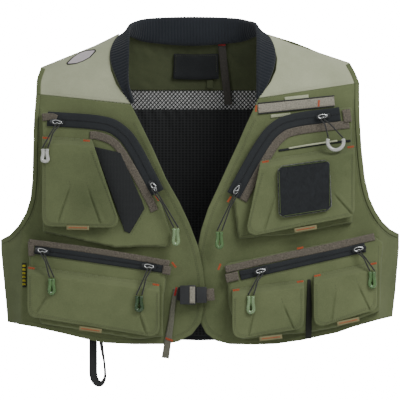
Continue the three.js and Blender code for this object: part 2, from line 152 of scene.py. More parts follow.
def tubeMesh(name, path, radius, sides, material):
    # a circle carried along the path on a frame that turns as little as it can, both ends closed
    path = np.asarray(path, float)
    count = len(path)
    tangent = np.gradient(path, axis=0)
    tangent /= np.linalg.norm(tangent, axis=1)[:, None]
    normal = np.zeros_like(path)
    start = np.cross(tangent[0], (0.1, 1.0, 0.2))
    normal[0] = start / np.linalg.norm(start)
    for i in range(1, count):
        n = normal[i - 1] - tangent[i] * np.dot(normal[i - 1], tangent[i])
        normal[i] = n / np.linalg.norm(n)
    other = np.cross(tangent, normal)
    angle = np.linspace(0, 2 * np.pi, sides, endpoint=False)
    wide = np.asarray(radius, float) * np.ones(count)
    ring = (normal[:, None, :] * np.cos(angle)[None, :, None]
            + other[:, None, :] * np.sin(angle)[None, :, None])
    verts = path[:, None, :] + ring * wide[:, None, None]
    faces = [tuple(f[::-1]) for f in gridFaces(count, sides, True)]
    verts = verts.reshape(-1, 3)
    faces.append(tuple(range(sides)))
    faces.append(tuple(range((count - 1) * sides, count * sides))[::-1])
    obj = addMesh(name, verts * mm, faces, material)
    fixNormals(obj)
    return obj


def fixNormals(obj):
    # merges doubles and turns every face outwards
    mesh = bmesh.new()
    mesh.from_mesh(obj.data)
    bmesh.ops.remove_doubles(mesh, verts=mesh.verts, dist=1e-6)
    bmesh.ops.recalc_face_normals(mesh, faces=mesh.faces)
    mesh.to_mesh(obj.data)
    mesh.free()


def bakedCopy(obj):
    graph = bpy.context.evaluated_depsgraph_get()
    return bpy.data.meshes.new_from_object(obj.evaluated_get(graph))


def replaceMesh(obj, mesh):
    obj.modifiers.clear()
    old = obj.data
    obj.data = mesh
    bpy.data.meshes.remove(old)


def places(obj):
    co = np.zeros(len(obj.data.vertices) * 3)
    obj.data.vertices.foreach_get("co", co)
    return co.reshape(-1, 3)


def setPlaces(obj, co):
    obj.data.vertices.foreach_set("co", np.asarray(co, np.float32).ravel())
    obj.data.update()


def normals(obj):
    n = np.zeros(len(obj.data.vertices) * 3)
    obj.data.vertex_normals.foreach_get("vector", n)
    return n.reshape(-1, 3)


def declare(obj, body, node=None):
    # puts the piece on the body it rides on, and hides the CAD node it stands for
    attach(obj, body)
    if node:
        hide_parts(node)


def newMaterial(name):
    material = bpy.data.materials.new(name)
    material.use_nodes = True
    tree = material.node_tree
    shader = tree.nodes["Principled BSDF"]
    return material, tree, shader


def linear(color):
    c = np.array(color, float) / 255
    return tuple(np.where(c <= 0.04045, c / 12.92, ((c + 0.055) / 1.055) ** 2.4)) + (1.0,)


def addNode(tree, kind, **values):
    node = tree.nodes.new(kind)
    for key, value in values.items():
        if key in node.inputs:
            node.inputs[key].default_value = value
        else:
            setattr(node, key, value)
    return node


def waveScale(pitch):
    # the wave texture's scale that gives one band for each pitch of the coordinates
    return 1 / (pitch * 20) * 3.1


def twoTones(tree, factor, dark, light, low=0.0, high=1.0):
    # a ramp from the dark tone at low to the light tone at high
    ramp = addNode(tree, "ShaderNodeValToRGB")
    first, last = ramp.color_ramp.elements
    first.position, last.position = low, high
    first.color, last.color = linear(dark), linear(light)
    tree.links.new(factor, ramp.inputs["Fac"])
    return ramp.outputs["Color"]


def raiseThreads(tree, height, shader, strength, depth):
    raised = addNode(tree, "ShaderNodeBump", Strength=strength, Distance=depth)
    tree.links.new(height, raised.inputs["Height"])
    tree.links.new(raised.outputs["Normal"], shader.inputs["Normal"])


def clothMaterial(name, dark, light, thread=0.55, bump=0.25, roughness=0.88, sheen=0.08, mottle=9.0,
                  diagonal=0.0, depth=0.0004):
    # woven cloth: two thread directions as crossed waves, with slow colour mottling
    material, tree, shader = newMaterial(name)
    link = tree.links.new
    place = addNode(tree, "ShaderNodeTexCoord")
    turn = addNode(tree, "ShaderNodeMapping")
    turn.inputs["Rotation"].default_value = (0, diagonal, 0)
    link(place.outputs["Object"], turn.inputs["Vector"])
    waves = []
    for direction in ("X", "Z"):
        wave = addNode(tree, "ShaderNodeTexWave", Scale=waveScale(thread * mm), Distortion=0.6)
        wave.bands_direction = direction
        wave.inputs["Detail"].default_value = 1.0
        link(turn.outputs["Vector"], wave.inputs["Vector"])
        waves.append(wave)
    weave = addNode(tree, "ShaderNodeMath", operation="MULTIPLY")
    link(waves[0].outputs["Fac"], weave.inputs[0])
    link(waves[1].outputs["Fac"], weave.inputs[1])
    cloud = addNode(tree, "ShaderNodeTexNoise", Scale=mottle, Detail=6.0, Roughness=0.6)
    link(place.outputs["Object"], cloud.inputs["Vector"])
    fleck = addNode(tree, "ShaderNodeTexNoise", Scale=900.0, Detail=2.0)
    link(place.outputs["Object"], fleck.inputs["Vector"])
    mixed = addNode(tree, "ShaderNodeMath", operation="MULTIPLY_ADD")
    mixed.inputs[1].default_value = 0.45
    link(fleck.outputs["Fac"], mixed.inputs[0])
    link(cloud.outputs["Fac"], mixed.inputs[2])
    link(twoTones(tree, mixed.outputs[0], dark, light, 0.45, 0.98), shader.inputs["Base Color"])
    rough = addNode(tree, "ShaderNodeMapRange")
    rough.inputs["To Min"].default_value = roughness - 0.06
    rough.inputs["To Max"].default_value = min(1.0, roughness + 0.08)
    link(cloud.outputs["Fac"], rough.inputs["Value"])
    link(rough.outputs["Result"], shader.inputs["Roughness"])
    raiseThreads(tree, weave.outputs[0], shader, bump, depth)
    shader.inputs["Sheen Weight"].default_value = sheen
    shader.inputs["Sheen Roughness"].default_value = 0.5
    shader.inputs["Specular IOR Level"].default_value = 0.25
    return material


def webbingMaterial(name, colors, rib=1.5, roughness=0.8):
    # ribbed webbing on its own map: u runs across, v runs along; a small broken pattern of tones
    material, tree, shader = newMaterial(name)
    link = tree.links.new
    uv = addNode(tree, "ShaderNodeUVMap", uv_map="flat")
    wave = addNode(tree, "ShaderNodeTexWave", Scale=waveScale(rib), Distortion=0.2)
    wave.bands_direction = "Y"
    link(uv.outputs["UV"], wave.inputs["Vector"])
    cross = addNode(tree, "ShaderNodeTexWave", Scale=waveScale(rib * 0.7), Distortion=0.2)
    cross.bands_direction = "X"
    link(uv.outputs["UV"], cross.inputs["Vector"])
    height = addNode(tree, "ShaderNodeMath", operation="MULTIPLY")
    link(wave.outputs["Fac"], height.inputs[0])
    link(cross.outputs["Fac"], height.inputs[1])
    patches = addNode(tree, "ShaderNodeTexNoise", Scale=0.55, Detail=3.0, Roughness=0.8, Distortion=0.6)
    link(uv.outputs["UV"], patches.inputs["Vector"])
    ramp = addNode(tree, "ShaderNodeValToRGB")
    ramp.color_ramp.interpolation = "CONSTANT"
    stops = np.linspace(0.30, 0.66, len(colors))
    ramp.color_ramp.elements[0].position = 0.0
    ramp.color_ramp.elements[0].color = linear(colors[0])
    ramp.color_ramp.elements[1].position = float(stops[1])
    ramp.color_ramp.elements[1].color = linear(colors[1])
    for stop, color in zip(stops[2:], colors[2:]):
        element = ramp.color_ramp.elements.new(float(stop))
        element.color = linear(color)
    link(patches.outputs["Fac"], ramp.inputs["Fac"])
    link(ramp.outputs["Color"], shader.inputs["Base Color"])
    raiseThreads(tree, height.outputs[0], shader, 0.6, 0.0004)
    shader.inputs["Roughness"].default_value = roughness
    shader.inputs["Sheen Weight"].default_value = 0.2
    return material


def meshLiningMaterial(name, thread, hole, pitch=2.6):
    # knitted mesh: round holes in a staggered net, drawn as dark dots with a raised net between
    material, tree, shader = newMaterial(name)
    link = tree.links.new
    place = addNode(tree, "ShaderNodeTexCoord")
    stretch = addNode(tree, "ShaderNodeMapping")
    stretch.inputs["Scale"].default_value = (1.0, 0.0, 1.25)
    link(place.outputs["Object"], stretch.inputs["Vector"])
    cells = addNode(tree, "ShaderNodeTexVoronoi", Scale=1 / (pitch * mm), Randomness=0.0)
    cells.voronoi_dimensions = "3D"
    link(stretch.outputs["Vector"], cells.inputs["Vector"])
    link(twoTones(tree, cells.outputs["Distance"], hole, thread, 0.30, 0.42), shader.inputs["Base Color"])
    raiseThreads(tree, cells.outputs["Distance"], shader, 0.5, 0.0006)
    shader.inputs["Roughness"].default_value = 0.9
    return material


def hardMaterial(name, color, roughness, metallic=0.0, coat=0.0, grain=260.0, strength=0.08,
                 transmission=0.0):
    # moulded or plated surface with fine grain and slightly uneven gloss
    material, tree, shader = newMaterial(name)
    link = tree.links.new
    spread = 0.12
    place = addNode(tree, "ShaderNodeTexCoord")
    noise = addNode(tree, "ShaderNodeTexNoise", Scale=grain, Detail=4.0)
    link(place.outputs["Object"], noise.inputs["Vector"])
    rough = addNode(tree, "ShaderNodeMapRange")
    rough.inputs["To Min"].default_value = max(0.03, roughness - spread)
    rough.inputs["To Max"].default_value = roughness + spread
    link(noise.outputs["Fac"], rough.inputs["Value"])
    link(rough.outputs["Result"], shader.inputs["Roughness"])
    c = np.array(color, float)
    slow = addNode(tree, "ShaderNodeTexNoise", Scale=60.0, Detail=3.0)
    link(place.outputs["Object"], slow.inputs["Vector"])
    tone = twoTones(tree, slow.outputs["Fac"], c * 0.82, np.minimum(255, c * 1.12))
    link(tone, shader.inputs["Base Color"])
    raiseThreads(tree, noise.outputs["Fac"], shader, strength, 0.0003)
    shader.inputs["Metallic"].default_value = metallic
    shader.inputs["Coat Weight"].default_value = coat
    shader.inputs["Transmission Weight"].default_value = transmission
    return material


oliveCloth = clothMaterial("oliveCloth", (80, 89, 59), (110, 119, 83))
oliveDark = clothMaterial("oliveLining", (56, 61, 42), (82, 89, 62), thread=0.7)
sageCloth = clothMaterial("sageCloth", (150, 156, 128), (178, 182, 154), thread=0.8, bump=0.4,
                          diagonal=0.785, mottle=14.0)
ribKnit = clothMaterial("ribKnit", (24, 28, 33), (40, 44, 50), thread=1.0, bump=0.6, roughness=0.95,
                        sheen=0.15)
blackCloth = clothMaterial("blackCloth", (24, 26, 28), (44, 47, 48), thread=0.6)
stretchKnit = meshLiningMaterial("stretchKnit", (38, 41, 42), (22, 24, 25), pitch=2.2)
fleeceCloth = clothMaterial("fleeceCloth", (17, 20, 23), (32, 36, 39), thread=0.45, bump=0.3,
                            roughness=1.0, sheen=0.5, mottle=120.0, depth=0.001)
darkMesh = meshLiningMaterial("darkMesh", (36, 38, 39), (10, 11, 12), pitch=5.2)
ventMesh = clothMaterial("ventMesh", (36, 38, 38), (56, 58, 58), thread=0.5)
gauzeWhite = clothMaterial("gauzeWhite", (244, 245, 243), (255, 255, 254), thread=0.4, bump=0.1)
taupeWeb = webbingMaterial("taupeWeb", [(64, 58, 49), (84, 78, 68), (102, 95, 82), (120, 112, 97)])
lightWeb = webbingMaterial("lightWeb", [(112, 108, 98), (134, 130, 117), (150, 146, 132),
                                        (164, 160, 145)])
tailWeb = webbingMaterial("tailWeb", [(82, 82, 70), (94, 94, 80), (106, 105, 90), (118, 116, 100)])
brownWeb = webbingMaterial("brownWeb", [(44, 41, 36), (52, 49, 43), (60, 56, 50), (68, 64, 57)])
blackWeb = webbingMaterial("blackWeb", [(22, 23, 23), (30, 31, 31), (38, 39, 38)])
zipCloth = clothMaterial("zipCloth", (32, 35, 38), (48, 51, 53), thread=0.9, bump=0.6)
patchLilac = clothMaterial("patchLilac", (176, 168, 172), (204, 198, 200), thread=0.5)
# near-black olive cloth used as painted shade: the dark of the deep gap between the two cargo pockets
cargoGapShade = clothMaterial("cargoGapShade", (26, 27, 25), (48, 49, 44), thread=0.6)
threadTones = dict(
    pale=((150, 152, 132), (176, 178, 158)), olive=((66, 71, 52), (84, 89, 66)),
    orange=((168, 70, 38), (204, 96, 54)), yellow=((186, 176, 40), (214, 204, 60)),
    green=((70, 84, 46), (96, 112, 64)), red=((150, 34, 34), (186, 48, 44)),
    black=((26, 27, 28), (44, 45, 46)))
threads = {tone: clothMaterial("thread" + tone.capitalize(), dark, light, thread=0.3,
                               bump=0.5 if tone == "orange" else 0.25)
           for tone, (dark, light) in threadTones.items()}
coilPlastic = hardMaterial("coilPlastic", (30, 32, 34), 0.5)
sliderMetal = hardMaterial("sliderMetal", (46, 48, 50), 0.3, metallic=0.7, coat=0.4, strength=0.05)
brightMetal = hardMaterial("brightMetal", (196, 198, 198), 0.2, metallic=1.0, strength=0.05)
bucklePlastic = hardMaterial("bucklePlastic", (36, 38, 40), 0.45, grain=900.0)
leatherTab = hardMaterial("leatherTab", (122, 116, 78), 0.6, grain=700.0, strength=0.3)
cordBraid = webbingMaterial("cordBraid", [(26, 27, 27), (36, 37, 37), (48, 49, 48)], rib=0.8)
gripTints = dict(
    clear=hardMaterial("gripClear", (214, 216, 210), 0.16, coat=0.5, transmission=0.35, strength=0.02),
    pale=hardMaterial("gripPale", (140, 168, 122), 0.18, coat=0.5, transmission=0.3, strength=0.02),
    green=hardMaterial("gripGreen", (92, 128, 76), 0.18, coat=0.5, transmission=0.25, strength=0.02),
    deep=hardMaterial("gripDeep", (50, 80, 44), 0.14, coat=0.6, transmission=0.25, strength=0.02),
)
print("vest: materials ready")

gripShape = dict(thick=2.75, lip=0.45, rounding=0.8, arc=(157, 383), ringDrop=5, foot=2.9)
for name, p in pullTable.items():
    route = cordRoute(p)
    path = splineThrough(route, 6)
    cord = tubeMesh("braid_" + name, path, cordSettings["radius"], 10, cordBraid)
    uvLayer = cord.data.uv_layers.new(name="flat")
    co = places(cord) / mm
    loops = np.zeros(len(cord.data.loops), np.int32)
    cord.data.loops.foreach_get("vertex_index", loops)
    uvLayer.data.foreach_set("uv", co[loops][:, [0, 2]].ravel())
    declare(cord, name + "_pull", name + "_cord")
    # the moulded grip: a round tube bent into a U, a collar at each mouth
    g = gripShape
    x, y, z = p["gripX"], float(facetPlane(p["gripX"], p["out"])), p["gripZ"]
    legs, drop = p["legs"], p["drop"]
    if "ring" in p:
        # the wide one is an open ring: an arc of a circle between the two cord ends
        turn = np.radians(np.linspace(*g["arc"], 15))
        bend = np.stack([x + p["ring"] * np.cos(turn), 0 * turn + y,
                         z - g["ringDrop"] + p["ring"] * np.sin(turn)], axis=-1)
    else:
        # the others are pinched to a drop: the legs nearly touch, and the foot is the widest place
        leftLeg = [(x - legs * 0.8, y, z - 0.3), (x - legs * 0.72, y, z - drop * 0.35),
                   (x - legs * 1.05, y, z - drop * 0.75)]
        rightLeg = [(2 * x - a, b, c) for a, b, c in leftLeg[::-1]]
        bend = leftLeg + [(x, y, z - drop + g["foot"])] + rightLeg
    gripPath = splineThrough(bend, 10)
    f = np.linspace(0, 1, len(gripPath))
    lip = g["lip"] * (np.exp(-((f - 0.03) / 0.02) ** 2) + np.exp(-((f - 0.97) / 0.02) ** 2))
    rounding = g["rounding"] * (np.exp(-(f / 0.008) ** 2) + np.exp(-((1 - f) / 0.008) ** 2))
    thick = g["thick"] + lip - rounding
    grip = tubeMesh("tube_grip_" + name, gripPath, thick, 16, gripTints[p["tint"]])
    declare(grip, name + "_pull", name + "_grip")
print("vest: cords and grips ready")

form = dict(halfWidth=298, hemHalfWidth=281, taperTop=290, length=490, rise=125, neckX=-12, neckHalf=102,
            neckTop=12, setback=38, cloth=3.0)


def shoulderLine(x):
    # level across the neck, then falling in a straight line to each shoulder
    slope = np.where(x < form["neckX"], 0.40, 0.33)
    return form["neckTop"] - slope * np.maximum(0, np.abs(x - form["neckX"]) - form["neckHalf"])


def formY(x, z, out, back=False):
    # lens-shaped body: depth follows a quarter ellipse down from the shoulder line, and a flat-fronted
    # profile across; the sides close at the side seams
    x = np.asarray(x, float)
    z = np.asarray(z, float)
    t = np.maximum(0, shoulderLine(x) + out - z)
    fall = np.clip((t - form["taperTop"]) / (form["length"] - form["taperTop"]), 0, 1)
    width = form["halfWidth"] + (form["hemHalfWidth"] - form["halfWidth"]) * fall
    half = np.minimum(1, t / form["rise"])
    swell = np.sqrt(1 - (1 - half) ** 2)
    a = np.abs(x)
    if back:
        inner = np.interp(a, [0, 45, 150, 268], [72, 71, 61, 34]) + out
        shoulder = 17 + out
        edge = 34 + out
    else:
        inner = np.interp(a, [0, 45, 268], [71, 68.3, 37]) + out
        shoulder = 14 + out
        edge = 37 + out
    outer1 = edge + (shoulder - edge) * (a - 268) / np.maximum(1, width - 11 - 268)
    outer2 = shoulder * (width + out - a) / (11 + out)
    depth = np.where(a < 268, inner, np.where(a < width - 11, outer1, np.maximum(0, outer2)))
    reach = np.minimum(1, np.abs(x - form["neckX"]) / 140)
    ridge = form["setback"] * np.cos(reach * np.pi / 2) ** 2
    sign = 1 if back else -1
    return ridge * (1 - swell) + sign * depth * swell


def resample(points, count):
    # the same path as evenly spaced places, by the length run along it
    p = np.asarray(points, float)
    run = np.concatenate([[0], np.cumsum(np.linalg.norm(np.diff(p, axis=0), axis=1))])
    f = np.linspace(0, run[-1], count)
    return np.stack([np.interp(f, run, p[:, i]) for i in range(p.shape[1])], axis=1)


def coonsPatch(top, bottom, left, right, columns, rows):
    # a grid between four edge curves: blended from both pairs of edges, less the corner blend
    t, b = resample(top, columns), resample(bottom, columns)
    l, r = resample(left, rows), resample(right, rows)
    u = np.linspace(0, 1, columns)[None, :, None]
    v = np.linspace(0, 1, rows)[:, None, None]
    across = (1 - v) * t[None] + v * b[None]
    down = (1 - u) * l[:, None] + u * r[:, None]
    corners = ((1 - u) * (1 - v) * t[0] + u * (1 - v) * t[-1] + (1 - u) * v * b[0] + u * v * b[-1])
    return across + down - corners


def folds(x, z, seed, size=90.0, count=9):
    # soft wrinkles: a sum of slow waves in seeded directions, each sharpened to a ridge
    g = np.random.default_rng(seed)
    total = np.zeros_like(x)
    for _ in range(count):
        angle = g.uniform(0.0, math.pi)
        wave = size * g.uniform(0.5, 1.5)
        phase = g.uniform(0, 2 * np.pi)
        bend = g.uniform(0.2, 0.9)
        s = (x * np.cos(angle) + z * np.sin(angle)) / wave * 2 * np.pi
        s = s + bend * np.sin((z * np.cos(angle) - x * np.sin(angle)) / (wave * 1.7) * 2 * np.pi + phase)
        total += (1 - np.abs(np.sin(s / 2 + phase))) ** 1.6 * g.uniform(0.4, 1.0)
    return total / count


def addThickness(obj, thickness, offset=-1.0, innerMaterial=0):
    solid = obj.modifiers.new("thickness", "SOLIDIFY")
    solid.thickness = thickness * mm
    solid.offset = offset
    solid.use_even_offset = False
    solid.material_offset = innerMaterial
    solid.material_offset_rim = 0


gathers = dict(halfWidth=112, fade=22, pitch=15, reach=17, startDrop=12, loose=1.5)


def clothPatch(name, grid, back, out, wrinkle, seed, materials, node,
               thickness=2.2, size=90.0, gather=0.0):
    # a sheet on the body's form at the grid's places, with soft folds that fade out at its edges
    rows, columns = grid.shape[:2]
    x, z = grid[..., 0], grid[..., 1]
    y = formY(x, z, out, back)
    u = np.linspace(0, 1, columns)[None, :]
    v = np.linspace(0, 1, rows)[:, None]
    ease = np.minimum(1, 10 * np.minimum(np.minimum(u, 1 - u), np.minimum(v, 1 - v)))
    sign = 1 if back else -1
    y = y + sign * wrinkle * (folds(x, z, seed, size) - 0.35) * ease
    y = y + sign * 0.25 * wrinkle * (folds(x, z, seed + 50, size * 0.3) - 0.35) * ease
    # gathers hang from the top edge: a cosine across, dying away downwards, on a slowly bent line
    g = gathers
    hang = (z[:1] - z) + 0.0 * x
    bent = x + 7 * np.sin(z / 16) + 5 * np.sin(x / 21)
    amount = gather * np.clip((g["halfWidth"] - np.abs(x - form["neckX"])) / g["fade"], 0, 1)
    y = y + amount * np.cos(2 * np.pi * bent / g["pitch"]) * np.exp(-hang / g["reach"])
    slack = np.clip(hang / g["startDrop"], 0, 1) * (folds(x + 0.8 * z, z, seed + 90, 38) - 0.35)
    y = y + g["loose"] * amount * slack
    verts = np.stack([x, y, z], axis=-1).reshape(-1, 3) * mm
    faces = gridFaces(rows, columns)
    obj = addMesh(name, verts, faces if back else faces[:, ::-1], materials[0])
    for extra in materials[1:]:
        obj.data.materials.append(extra)
    normalY = sum(p.normal.y * p.area for p in obj.data.polygons)
    if normalY * sign < 0:
        obj.data.flip_normals()
    addThickness(obj, thickness, innerMaterial=len(materials) - 1)
    declare(obj, "garment", node)
    return obj


rightSeam = [(-247, -77.2), (-200, -82.4), (-150, -87.9), (-104, -92.9)]
leftSeam = [(88, -84.3), (140, -76), (190, -68), (240, -60)]
rightArmhole = [(-247, -77.5), (-250, -120), (-251, -160), (-252, -205), (-255, -235), (-262, -257),
                (-273, -275), (-286, -289), (-300.8, -297)]
leftArmhole = [(240, -60.3), (240, -110), (243, -160), (248, -205), (255, -234), (264, -254), (275, -270),
               (287, -281), (300.8, -288)]
rightSide = [(-300.8, -297), (-300.6, -312), (-298, -340), (-294, -380), (-290.2, -421)]
leftSide = [(300.8, -288), (300.6, -310), (298, -340), (295, -375), (290.5, -413)]
rightPlacket = [(-104, -93.2), (-86, -129), (-70, -162), (-51, -205), (-31, -240), (-16, -272), (-3, -306),
                (4, -338), (7, -366), (6, -396), (1, -421), (-12, -438), (-32, -449), (-55, -453)]
leftPlacket = [(88, -84.6), (69, -125), (56, -155), (40, -189), (26, -220), (12, -250), (2, -281),
               (-5, -315), (-7, -350), (-6, -385), (0, -420), (9, -437), (24, -448), (45, -453)]
rightHem = [(-290.2, -421), (-249, -428), (-204, -438), (-166, -447), (-142, -451.5), (-100, -453.5),
            (-55, -453)]
leftHem = [(45, -453), (80, -454), (114, -453), (153, -447.5), (207, -436), (252, -420), (290.5, -413)]

front = dict(columns=120, rows=150, wrinkle=2.2)
rightGrid = coonsPatch(rightSeam, rightHem, rightArmhole + rightSide[1:], rightPlacket, front["columns"],
                       front["rows"])
frontRight = clothPatch("cloth_front_right", rightGrid, False, form["cloth"], front["wrinkle"], 11,
                        [oliveCloth, blackCloth], "front_panel_right")
leftGrid = coonsPatch(leftSeam, leftHem, leftPlacket, leftArmhole + leftSide[1:], front["columns"],
                      front["rows"])
# the left front's lower edge tucks behind the right front
tuck = dict(edgeX=26, topZ=-285, fade=30, depth=4.6)
under = (np.clip((tuck["edgeX"] - leftGrid[..., 0]) / tuck["fade"], 0, 1)
         * np.clip((tuck["topZ"] - leftGrid[..., 1]) / tuck["fade"], 0, 1))
frontLeft = clothPatch("cloth_front_left", leftGrid, False, form["cloth"], front["wrinkle"], 23,
                       [oliveCloth, blackCloth], "front_panel_left")
leftPlaces = places(frontLeft)
leftPlaces[:, 1] += under.ravel() * tuck["depth"] * mm
setPlaces(frontLeft, leftPlaces)


def lowered(path, drop):
    return [(x, z - drop) for x, z in path]


# the yokes cover the fronts' top seams
yokeRightGrid = coonsPatch([(-240, -36.4), (-200, -20.2), (-160, -4.2), (-122, 14.9)],
                           lowered(rightSeam, 1.8),
                           [(-240, -36.4), (-246, -56), (-247, -77)],
                           [(-122, 14.9), (-124, 4), (-133, -8), (-136, -24), (-134, -42), (-126, -63),
                            (-104, -92.6)], 70, 50)
yokeLeftGrid = coonsPatch([(98, 14.9), (140, 2), (180, -14), (226, -29.4)], lowered(leftSeam, 1.8),
                          [(98, 14.9), (102, 4), (112, -8), (116, -24), (114, -42), (106, -60), (88, -84)],
                          [(226, -29.4), (234, -45), (240, -60)], 70, 50)
yokeRight = clothPatch("cloth_yoke_right", yokeRightGrid, False, form["cloth"] + 0.4, 1.2, 31,
                       [sageCloth, oliveDark], "shoulder_yoke_right", size=60)
yokeLeft = clothPatch("cloth_yoke_left", yokeLeftGrid, False, form["cloth"] + 0.4, 1.2, 37,
                      [sageCloth, oliveDark], "shoulder_yoke_left", size=60)

# back: yoke, see-through vent, panel and mesh lining
backTop = [(-240, -36.4), (-200, -20.2), (-160, -4.2), (-122, 12.5), (-104, 12), (-80, 8.5),
           (-60, 6), (-12, 4), (40, 6), (62, 8.5), (84, 12), (98, 12.5),
           (140, 2), (180, -14), (226, -29.4)]
ventHigh = [(-244, -70), (-120, -70), (-12, -70), (110, -70), (236, -70)]
ventLow = [(-244, -101), (-120, -101), (-12, -101), (110, -101), (236, -101)]
backYokeGrid = coonsPatch(backTop, ventHigh, [(-240, -36.4), (-243, -55), (-244, -70)],
                          [(226, -29.4), (232, -52), (236, -70)], 150, 40)
clothPatch("cloth_back_yoke", backYokeGrid, True, form["cloth"], 3.6, 41,
                      [sageCloth, oliveDark], "back_yoke", size=34, gather=1.1)
backHem = [(-290.2, -421), (-200, -440), (-100, -448), (0, -451), (100, -448), (200, -439),
           (290.5, -413)]
backRightEdge = [(-244, -101), (-246, -160), (-247, -214), (-252, -242), (-264, -268), (-282, -288),
                 (-300.8, -297)] + rightSide[1:]
backLeftEdge = [(236, -101), (238, -160), (240, -214), (246, -240), (260, -264), (280, -281),
                (300.8, -288)] + leftSide[1:]
backGrid = coonsPatch(ventLow, backHem, backRightEdge, backLeftEdge, 190, 130)
clothPatch("cloth_back_panel", backGrid, True, form["cloth"], 2.6, 47,
                       [oliveCloth, blackCloth], "back_panel", thickness=1.6)
liningGrid = coonsPatch([(-236, -99), (-12, -99), (228, -99)], [(-240, -430), (0, -444), (240, -428)],
                        [(-236, -99), (-240, -290), (-240, -430)], [(228, -99), (232, -290), (240, -428)],
                        150, 110)
clothPatch("mesh_back_lining", liningGrid, True, -0.6, 2.4, 53, [darkMesh], "back_lining",
                    thickness=0.8, size=120, gather=1.5)

# the vent: a knitted net with open diamond holes, strand by strand
vent = dict(pitch=5.8, rowHeight=6.4, strand=0.72, left=-243, right=235, top=-69.4, bottom=-101.6)


def openNet(name, s):
    columns = int((s["right"] - s["left"]) / s["pitch"])
    rows = int(round((s["top"] - s["bottom"]) / s["rowHeight"] * 2)) + 1
    c, r = np.meshgrid(np.arange(columns + 1), np.arange(rows))
    x = s["left"] + (c + 0.5 * (r % 2)) * s["pitch"]
    z = s["top"] - r * (s["top"] - s["bottom"]) / (rows - 1)
    y = formY(x, z, 1.2, True) + 0.8 * (folds(x, z, 61, 70) - 0.35)
    points = np.stack([x, y, z], axis=-1)
    # a half row steps right on even rows and left on odd ones, so two sets of strands cross it
    across = np.where(r[:-1] % 2 == 0, 0, 1)
    starts, ends = [], []
    for shift in (0, -1):
        target = c[:-1] + across + shift
        keep = (target >= 0) & (target <= columns)
        starts.append(points[:-1][keep])
        nextRow = points[r[1:][keep], target[keep]]
        ends.append(nextRow)
    a = np.concatenate(starts)
    b = np.concatenate(ends)
    along = (b - a) / np.linalg.norm(b - a, axis=1)[:, None]
    side = np.cross(along, (0, 1, 0))
    side /= np.linalg.norm(side, axis=1)[:, None]
    out = np.cross(along, side)
    corner = [(1, 0), (0, 1), (-1, 0), (0, -1)]
    ring = np.stack([side * p + out * q for p, q in corner], axis=1) * s["strand"]
    verts = np.concatenate([a[:, None] + ring, b[:, None] + ring], axis=1).reshape(-1, 3)
    base = np.arange(len(a))[:, None] * 8
    k = np.arange(4)
    quads = np.stack([k, (k + 1) % 4, (k + 1) % 4 + 4, k + 4], axis=-1)
    caps = np.array([[3, 2, 1, 0], [4, 5, 6, 7]])
    faces = (base[:, :, None] + np.concatenate([quads, caps])[None]).reshape(-1, 4)
    obj = addMesh(name, verts * mm, faces, ventMesh)
    fixNormals(obj)
    return obj


gauzeGrid = coonsPatch(ventHigh, ventLow, [(-244, -69), (-244, -85), (-244, -102)],
                       [(236, -69), (236, -85), (236, -102)], 90, 10)
clothPatch("gauze_back_vent", gauzeGrid, True, 3.4, 0.5, 63, [gauzeWhite], None,
                   thickness=0.5)
ventNet = openNet("net_back_vent", vent)
declare(ventNet, "garment", "back_vent_mesh")
print("vest: shell made")

collarShape = dict(
    seam=[(-102.5, -61.5, -93), (-113, -59, -78), (-122, -57, -62), (-134, -44, -30), (-134, -26, -8),
          (-122, -6, 9), (-104, 15, 9), (-80, 34, 2), (-12, 44, -3), (58, 34, 2), (82, 15, 9),
          (100, -6, 11), (112, -26, -6), (113, -44, -30), (104, -57, -58), (88, -61, -87)],
    free=[(-99.5, -65, -90), (-104, -65, -76), (-107, -65, -58), (-106.5, -53, -20), (-106, -34, 8),
          (-105, -10, 27), (-94, 18, 35), (-70, 37, 39.5), (-12, 48, 41.5), (48, 37, 39.5), (72, 18, 35),
          (83, -10, 29), (85, -34, 8), (84.5, -53, -20), (84.5, -65, -58), (86, -65, -82)],
    ribPitch=4.9, ribDepth=0.95, thickness=2.4, stations=1000, across=14)


def ribbedBand(name, s):
    # a band between two edge curves; ribs are a cosine along the band, and the section is a slim loop
    seam = resample(splineThrough(s["seam"], 40), s["stations"])
    free = resample(splineThrough(s["free"], 40), s["stations"])
    along = np.gradient(seam + free, axis=0)
    wide = free - seam
    normal = np.cross(along, wide)
    normal /= np.linalg.norm(normal, axis=1)[:, None]
    middle = (seam + free) / 2
    run = np.concatenate([[0], np.cumsum(np.linalg.norm(np.diff(middle, axis=0), axis=1))])
    rib = np.abs(np.cos(np.pi * run / s["ribPitch"])) ** 0.7
    n = s["across"]
    f = np.concatenate([np.linspace(0.0, 1.0, n), np.linspace(1.0, 0.0, n)])
    face = np.concatenate([np.ones(n), -np.ones(n)])
    edge = np.sqrt(np.clip(1 - (2 * np.clip(f, 0.0, 1.0) - 1) ** 8, 0.02, 1))
    bow = 2.0 * np.sin(np.pi * f)
    half = (s["thickness"] + s["ribDepth"] * rib)[:, None]
    lift = face[None, :] * half * edge[None, :] + bow[None, :]
    pull = 0.6 * (1 - rib)[:, None] * (f > 0.95)[None, :]
    length = np.linalg.norm(wide, axis=1)[:, None]
    verts = (seam[:, None] + wide[:, None] * (f[None, :, None] - (pull / length)[:, :, None])
             + normal[:, None] * lift[:, :, None])
    count = 2 * n
    faces = [tuple(q) for q in gridFaces(s["stations"], count, True)]
    faces.append(tuple(range(count))[::-1])
    faces.append(tuple(range((s["stations"] - 1) * count, s["stations"] * count)))
    obj = addMesh(name, verts.reshape(-1, 3) * mm, faces, ribKnit)
    fixNormals(obj)
    return obj


collar = ribbedBand("knit_rib_collar", collarShape)
declare(collar, "garment", "rib_collar")
print("vest: collar made")


def nodeCopy(name, node, material):
    # a closed copy of a CAD node's mesh in the given material
    mesh = nodes[node].data.copy()
    mesh.materials.clear()
    mesh.materials.append(material)
    obj = bpy.data.objects.new(name, mesh)
    bpy.context.scene.collection.objects.link(obj)
    fixNormals(obj)
    return obj


